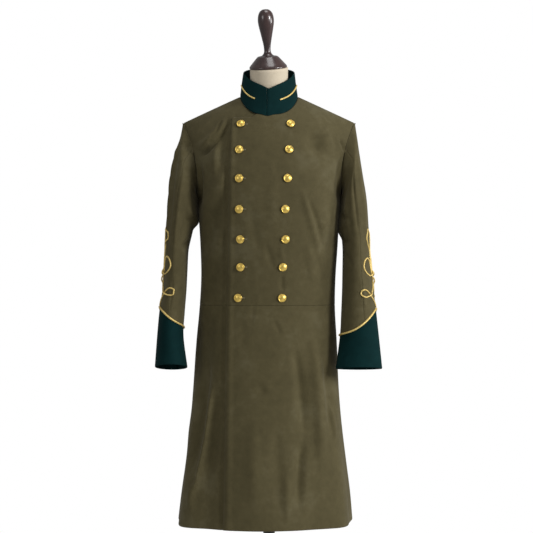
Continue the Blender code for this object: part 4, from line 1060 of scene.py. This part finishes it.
def lay_on_sleeve(across, up, side, height):
    """Lays a flat drawing on the sleeve above the cuff's point."""
    point_turn, point_row = CUFF_TOP[side]["turn"], CUFF_TOP[side]["point_row"]
    rows = np.linspace(point_row, KNOT_TOP_ROW, LAY_ROWS)
    run = path_length(sleeve(point_turn, rows, side))
    row = np.interp(up, run, rows)
    turns = np.linspace(-LAY_REACH, LAY_REACH, LAY_TURNS)
    turn = np.empty_like(row)
    for number, (one_row, one_across) in enumerate(zip(row, across)):
        arc = path_length(sleeve(point_turn + turns, one_row, side))
        turn[number] = point_turn + np.interp(arc[len(turns) // 2] + one_across, arc, turns)
    return on_sleeve(turn, row, side, height)


def knot_path(side):
    """The sleeve knot: one cord from the cuff's point, up one side and down the other, lying on the sleeve."""
    half = np.array(KNOT, float)
    drawn = np.vstack([half, half[-2::-1] * [-1, 1, 1]])
    steps = np.linspace(0, len(drawn) - 1, KNOT_POINTS)
    across, up, over = between(np.column_stack([np.arange(len(drawn)), drawn]), steps).T
    to_crossing = np.hypot(across, up - KNOT_MIDDLE_CROSSING)
    second_half = np.arange(KNOT_POINTS) > KNOT_POINTS / 2
    over = np.where(second_half, np.maximum(over, CROSSING_HOLD - to_crossing / CROSSING_REACH), over)
    radius = CORD_RADIUS["knot"]
    height = CORD_CLEARANCE + radius + CROSSING_LIFT * radius * eased(over)
    return lay_on_sleeve(KNOT_SPREAD[side] * across + KNOT_LEAN * up, up, side, height)


def add_cord(name, path, radius, closed=False, finish=None, slot="gold_braid", is_node=True):
    """A three-strand cord along a path: a ring of points carried along it, with its grooves wound round it."""
    if closed:
        path = np.vstack([path, path[:1]])
    run = path_length(path)
    steps = np.linspace(0, run[-1], int(run[-1] / CORD_STEP))
    centre = np.stack([np.interp(steps, run, path[:, axis]) for axis in range(3)], -1)
    ahead = np.gradient(centre, axis=0)
    if closed:
        ahead[0] = ahead[-1] = centre[1] - centre[-2]
    ahead /= np.linalg.norm(ahead, axis=1, keepdims=True)
    side = np.cross(ahead, [0.0, 0.0, 1.0])
    steep = np.linalg.norm(side, axis=1) < CORD_STEEP
    side[steep] = np.cross(ahead[steep], [1.0, 0.0, 0.0])
    for number in range(1, len(side)):  # carried along without twisting
        side[number] = side[number - 1] - ahead[number] * side[number - 1].dot(ahead[number])
        side[number] /= np.linalg.norm(side[number])
    side[0] /= np.linalg.norm(side[0])
    up = np.cross(side, ahead)
    gap = math.atan2(np.cross(side[-1], side[0]).dot(ahead[0]), side[-1].dot(side[0])) if closed else 0.0
    sides, share = np.linspace(0, math.tau, CORD_SIDES + 1)[None, :], (steps / run[-1])[:, None]
    turn = sides + gap * share
    lays = max(1, round(run[-1] / CORD_LAY))
    wound = CORD_STRANDS * sides + math.tau * lays * share
    size = radius * (1 - CORD_GROOVE + CORD_GROOVE * np.abs(np.cos(wound / 2)) * 2)[..., None]
    ring = side[:, None] * np.cos(turn)[..., None] - up[:, None] * np.sin(turn)[..., None]
    cut = np.stack(np.meshgrid(steps, np.linspace(0, math.tau * radius, CORD_SIDES + 1), indexing="ij"), -1)
    mesh = grid_mesh(name, centre[:, None] + ring * np.minimum(size, radius), cut)
    bm = bmesh.new()
    bm.from_mesh(mesh)
    bmesh.ops.remove_doubles(bm, verts=bm.verts, dist=radius * CORD_MERGE)
    if not closed:
        bmesh.ops.holes_fill(bm, edges=[edge for edge in bm.edges if edge.is_boundary])
    bmesh.ops.recalc_face_normals(bm, faces=bm.faces)
    bm.to_mesh(mesh)
    bm.free()
    return add_piece(name + "_cord", mesh, finish or GOLD_THREAD, slot, *([name] if is_node else []))


for side in ("left", "right"):
    turn = np.linspace(0, math.tau, 145)[:-1]
    height = np.full_like(turn, CORD_RADIUS["cuff"] + CORD_CLEARANCE)
    add_cord(f"cuff_braid_{side}", on_sleeve(turn, cuff_row(turn, side), side, height), CORD_RADIUS["cuff"],
             closed=True)
    add_cord(f"sleeve_knot_{side}", knot_path(side), CORD_RADIUS["knot"])

share = (np.linspace(COLLAR_BRAID_START[0], math.tau - COLLAR_BRAID_START[1], 161) - COLLAR_CLOSING) / math.tau
height = np.full_like(share, COLLAR_BRAID_AT)
add_cord("collar_braid", collar(share, height)
         + outward(collar, share, height) * (CORD_RADIUS["collar"] + CORD_CLEARANCE), CORD_RADIUS["collar"])


# ---- Buttons ----
# Fourteen stamped brass buttons, domed, with a rolled rim round a plain raised rosette. Each stands on a short
# shank that is sewn through the fronts.
BUTTON_LIFT, BUTTON_SIDES = 0.0007, 40
BUTTON_TURN, COLUMN_TURN = 37, 11  # degrees from one button to the next, and between the columns
FRONT_STEP = 0.02
BUTTON_PROFILE = (  # radius, height
    (0.0000, 0.0056),
    (0.0020, 0.0055),
    (0.0040, 0.0051),
    (0.0060, 0.0044),
    (0.0076, 0.0035),
    (0.0084, 0.0029),
    (0.0089, 0.0028),
    (0.0094, 0.0033),
    (0.0100, 0.0036),
    (0.0106, 0.0034),
    (0.0110, 0.0028),
    (0.0110, 0.0021),
    (0.0106, 0.0016),
    (0.0098, 0.0013),
    (0.0060, 0.0012),
    (0.0030, 0.0012),
    (0.0026, 0.0008),
    (0.0026, 0.0000),
    (0.0000, 0.0000),
)

PETALS = 8
BRASS, shader, uv, place = new_finish("stamped_brass", {"Metallic": 1.0})
spoke = uv.axis(1)
in_rosette = spoke.between(0.08, 0.12) * (1 - spoke.between(0.28, 0.34))
grain = place.noise(900.0, 3.0, 0.6)
worn = place.noise(240.0, 3.0, 0.6)
feed(shader, {"Base Color": (0.60 + (worn - 0.5) * 0.5 + (grain - 0.5) * 0.2).clamped().blend(
                  (0.70, 0.43, 0.07, 1), (1.0, 0.76, 0.22, 1)),
              "Roughness": (0.38 + (worn - 0.35) * 0.25).clamped(0.30, 0.6)},
     height=uv.axis(0).wave(1 / PETALS) * in_rosette * 0.4 + grain * 0.03, distance=0.0003, strength=0.25)


def spun(name, profile, steps, place, smooth=1):
    """A turned shape: a profile of (radius, height) spun round its axis, with its UVs round and along it."""
    rows = np.array(profile, float)
    count = (len(rows) - 1) * smooth + 1
    rows = between(np.column_stack([np.arange(len(rows)), rows]), np.linspace(0, len(rows) - 1, count))
    rows[:, 0] = np.maximum(rows[:, 0], 0)
    bm = bmesh.new()
    verts = [bm.verts.new((radius, 0, height)) for radius, height in rows]
    edges = [bm.edges.new(pair) for pair in zip(verts, verts[1:])]
    bmesh.ops.spin(bm, geom=verts + edges, cent=(0, 0, 0), axis=(0, 0, 1), angle=math.tau, steps=steps,
                   use_merge=True)
    bmesh.ops.remove_doubles(bm, verts=bm.verts, dist=1e-6)
    bmesh.ops.recalc_face_normals(bm, faces=bm.faces)
    layer = bm.loops.layers.uv.new("cut")
    run = path_length(rows)
    reach = run[-1]
    for face in bm.faces:
        middle = face.calc_center_median()
        centre_turn = math.atan2(middle.y, middle.x)
        for loop in face.loops:
            co = loop.vert.co
            turn = math.atan2(co.y, co.x) if co.xy.length > 1e-7 else centre_turn
            turn += round((centre_turn - turn) / math.tau) * math.tau
            nearest = np.hypot(rows[:, 0] - co.xy.length, rows[:, 1] - co.z).argmin()
            loop[layer].uv = (turn / math.tau, run[nearest] / reach)
    bmesh.ops.transform(bm, matrix=place, verts=bm.verts)
    mesh = bpy.data.meshes.new(name)
    bm.to_mesh(mesh)
    bm.free()
    return mesh


def on_front(x, z, lift):
    """A place on the upper front, moved out from it, and its outward direction."""
    angle = angle_at(np.array(x), np.array(z))
    foot = body(angle, z, LAYER)
    foot_ahead, foot_up = body(angle + FRONT_STEP, z, LAYER), body(angle, z + FRONT_STEP, LAYER)
    normal = np.cross(foot_ahead - foot, foot_up - foot)
    normal /= np.linalg.norm(normal)
    rise = float(body_creases(foot))
    return Vector(foot + normal * (lift + rise)), Vector(normal)


def button_centre(name):
    """(distance across from the ring's middle, height) of a button."""
    low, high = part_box(name)
    x, z = (low[0] + high[0]) / 2, (low[2] + high[2]) / 2
    return x - body(0.0, z)[0], z


for column in ("left", "right"):
    for number in range(1, 8):
        name = f"button_{column}_{number}"
        foot, normal = on_front(*button_centre(name), BUTTON_LIFT)
        tilt = normal.to_track_quat("Z", "Y").to_matrix().to_4x4()
        degrees = BUTTON_TURN * number + (COLUMN_TURN if column == "left" else 0)
        spin = Matrix.Rotation(math.radians(degrees), 4, "Z")
        mesh = spun(name, BUTTON_PROFILE, BUTTON_SIDES, Matrix.Translation(foot) @ tilt @ spin)
        add_piece(name + "_brass", mesh, BRASS, "brass", name)


# ---- Buttonholes ----
# Each button of the wearer's right column has a hole worked in olive silk, which shows past its rim.
HOLE_LENGTH, HOLE_HALF, HOLE_SHIFT = 0.026, 0.0011, 0.0045
HOLE_THREAD, HOLE_STITCH, HOLE_LIFT = 0.0008, 0.0009, 0.0002
HOLE_SQUARENESS, BAR_START, BAR_WIDTH = 0.35, 0.9, 0.0013 * 0.4  # the bar across its end, and where it starts
HOLE_POINTS = 48
SILK, shader, uv, place = new_finish("olive_silk", {"Sheen Weight": 0.1, "Specular IOR Level": 0.35})
stitches = uv.axis(0).wave(HOLE_STITCH)
feed(shader, {"Base Color": stitches.blend((0.10, 0.085, 0.045, 1), (0.24, 0.21, 0.13, 1)),
              "Roughness": 0.5 + stitches * 0.15}, height=stitches, distance=0.0002, strength=0.5)

for number in range(1, 8):
    x, z = button_centre(f"button_right_{number}")
    turn = np.linspace(0, math.tau, HOLE_POINTS + 1)[:-1]
    run = np.cos(turn)
    along = HOLE_SHIFT + HOLE_LENGTH / 2 * np.sign(run) * np.abs(run) ** HOLE_SQUARENESS
    aside = (HOLE_HALF + BAR_WIDTH * (run > BAR_START)) * np.sin(turn)
    path = np.array([on_front(x + a, z + b, HOLE_LIFT)[0] for a, b in zip(along, aside)])
    add_cord(f"buttonhole_{number}", path, HOLE_THREAD, True, SILK, "olive_cloth", False)


# ---- Dress form ----
# A padded torso and neck in a plain cotton cover, with a turned wooden cap and finial screwed into the neck's
# top. The torso shows only at the neck and from below.
FORM = (  # z, half_width, front, back, centre_y, slope
    (0.700, 0.158, 0.102, 0.104, 0.000, 0.00),
    (0.720, 0.164, 0.105, 0.107, 0.000, 0.00),
    (0.800, 0.166, 0.103, 0.098, 0.000, 0.00),
    (0.895, 0.156, 0.098, 0.086, 0.000, 0.00),
    (0.990, 0.156, 0.104, 0.087, 0.000, 0.00),
    (1.090, 0.164, 0.116, 0.095, 0.000, 0.00),
    (1.180, 0.174, 0.123, 0.105, 0.000, 0.00),
    (1.250, 0.182, 0.120, 0.108, 0.000, 0.00),
    (1.310, 0.188, 0.107, 0.102, 0.000, 0.00),
    (1.355, 0.189, 0.092, 0.090, 0.000, 0.00),
    (1.385, 0.178, 0.080, 0.078, 0.000, 0.00),
    (1.405, 0.148, 0.073, 0.068, 0.000, 0.02),
    (1.422, 0.112, 0.067, 0.058, -0.003, 0.06),
    (1.438, 0.080, 0.060, 0.052, -0.007, 0.12),
    (1.456, 0.062, 0.055, 0.050, -0.011, 0.18),
    (1.480, 0.054, 0.052, 0.050, -0.015, 0.21),
    (1.510, 0.052, 0.051, 0.050, -0.019, 0.21),
    (1.542, 0.052, 0.051, 0.051, -0.024, 0.21),
)
NECK_LEAN = 0.25
FORM_SEGMENTS, FORM_RINGS = 96, 120
CAP_X, CAP_GAP = -0.002, 0.0005
CAP_SIDES, CAP_SMOOTHING = 72, 4
CAP_PROFILE = (  # radius, height above the neck's top
    (0.0000, 0.1600),
    (0.0085, 0.1588),
    (0.0160, 0.1530),
    (0.0205, 0.1430),
    (0.0220, 0.1300),
    (0.0208, 0.1170),
    (0.0170, 0.0980),
    (0.0125, 0.0760),
    (0.0098, 0.0610),
    (0.0090, 0.0500),
    (0.0098, 0.0430),
    (0.0135, 0.0370),
    (0.0180, 0.0340),
    (0.0255, 0.0325),
    (0.0300, 0.0295),
    (0.0430, 0.0150),
    (0.0505, 0.0060),
    (0.0515, 0.0025),
    (0.0500, 0.0000),
    (0.0400, 0.0000),
    (0.0000, 0.0000),
)

COTTON_THREAD = 0.0012
COVER, shader, uv, place = new_finish("cotton_cover", {"Sheen Weight": 0.15, "Specular IOR Level": 0.3})
weft = place.axis(2).wave(COTTON_THREAD)
weave = place.noise(1400.0, 2.0)
stain = place.noise(14.0, 4.0, 0.6)
feed(shader, {"Base Color": (0.35 + (stain - 0.5) * 1.2 + (weave - 0.5) * 0.5).clamped().blend(
                  (0.66, 0.58, 0.45, 1), (0.52, 0.43, 0.30, 1)),
              "Roughness": 0.82 + (weave - 0.5) * 0.2},
     height=weave + weft * 0.5, distance=0.0004, strength=0.4)

heights = np.linspace(FORM[0][0], FORM[-1][0], FORM_RINGS)
rings = np.column_stack([heights, between(FORM, heights)])
bm = bmesh.new()
bmesh.ops.create_uvsphere(bm, u_segments=FORM_SEGMENTS, v_segments=FORM_RINGS + 1, radius=1)
for vert in bm.verts:
    level = round(math.acos(max(-1, min(1, -vert.co.z))) / math.pi * (FORM_RINGS + 1))
    z, half_width, front, back, centre_y, slope = rings[min(max(level, 1), FORM_RINGS) - 1]
    around = math.atan2(vert.co.x, -vert.co.y)
    size = 0.0 if level in (0, FORM_RINGS + 1) else 1.0
    x = size * half_width * math.sin(around)
    y = -size * (front if math.cos(around) > 0 else back) * math.cos(around)
    vert.co = (x, centre_y + y, z + slope * (y + NECK_LEAN * x))
bmesh.ops.recalc_face_normals(bm, faces=bm.faces)
mesh = bpy.data.meshes.new("form_torso")
bm.to_mesh(mesh)
bm.free()
cover = add_piece("form_torso_cover", mesh, COVER, "cream_cover", "form_torso")

DARK_WOOD, shader, uv, place = new_finish("dark_wood", {"Coat Weight": 0.55, "Coat Roughness": 0.12})
grain = place.mapped(scale=(1, 1, 0.12)).noise(120.0, 4.0, 0.6)
figure = place.mapped(scale=(1, 1, 0.25)).noise(30.0, 2.0, 0.5)
feed(shader, {"Base Color": (0.45 + (grain - 0.5) * 0.9 + (figure - 0.5) * 0.8).clamped().blend(
                  (0.020, 0.011, 0.011, 1), (0.075, 0.038, 0.034, 1)),
              "Roughness": 0.30 + (grain - 0.5) * 0.2}, height=grain, distance=0.0003, strength=0.15)

neck_top = FORM[-1]
upright = Vector((-neck_top[-1] * NECK_LEAN, -neck_top[-1], 1)).normalized()
foot = Vector((CAP_X, neck_top[4], neck_top[0])) + upright * CAP_GAP
place = Matrix.Translation(foot) @ upright.to_track_quat("Z", "Y").to_matrix().to_4x4()
add_piece("form_cap_wood", spun("form_cap", CAP_PROFILE, CAP_SIDES, place, smooth=CAP_SMOOTHING), DARK_WOOD,
          "dark_wood", "form_cap")


# ---- Stand ----
# An iron pole clamped in the form, stepped into a heavy round base with turned edges, all painted black.
POLE_RADIUS, POLE_TOP_Z = 0.016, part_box("stand_pole")[1][2]
BASE_RADIUS, BASE_HEIGHT = 0.200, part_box("stand_base")[1][2]
BOSS_RADIUS = POLE_RADIUS + 0.010
POLE_SIDES, BASE_SIDES = 64, 128

IRON_PAINT, shader, uv, place = new_finish("iron_paint", {"Coat Weight": 0.3, "Coat Roughness": 0.3})
orange_peel = place.noise(420.0, 2.0)
scuff = place.noise(60.0, 4.0, 0.7)
feed(shader, {"Base Color": scuff.between(0.62, 0.78).blend((0.012, 0.012, 0.013, 1), (0.06, 0.058, 0.055, 1)),
              "Roughness": 0.38 + (scuff - 0.5) * 0.4}, height=orange_peel, distance=0.0002, strength=0.25)

foot_z = BASE_HEIGHT + SEAM
pole = ((0, POLE_TOP_Z), (POLE_RADIUS - 0.001, POLE_TOP_Z), (POLE_RADIUS, POLE_TOP_Z - 0.001),
        (POLE_RADIUS, foot_z), (0, foot_z))
add_piece("stand_pole_iron", spun("stand_pole", pole, POLE_SIDES, Matrix.Identity(4)), IRON_PAINT, "black_iron",
          "stand_pole")
base = ((0, BASE_HEIGHT), (BOSS_RADIUS - 0.001, BASE_HEIGHT), (BOSS_RADIUS, BASE_HEIGHT - 0.0005),
        (BOSS_RADIUS + 0.003, BASE_HEIGHT - 0.003), (BOSS_RADIUS + 0.006, 0.0225),
        (BOSS_RADIUS + 0.009, 0.0220), (BASE_RADIUS - 0.020, 0.016), (BASE_RADIUS - 0.006, 0.012),
        (BASE_RADIUS - 0.001, 0.0095), (BASE_RADIUS, 0.007), (BASE_RADIUS, 0.001),
        (BASE_RADIUS - 0.001, 0.0), (0, 0))
add_piece("stand_base_iron", spun("stand_base", base, BASE_SIDES, Matrix.Identity(4)), IRON_PAINT, "black_iron",
          "stand_base")
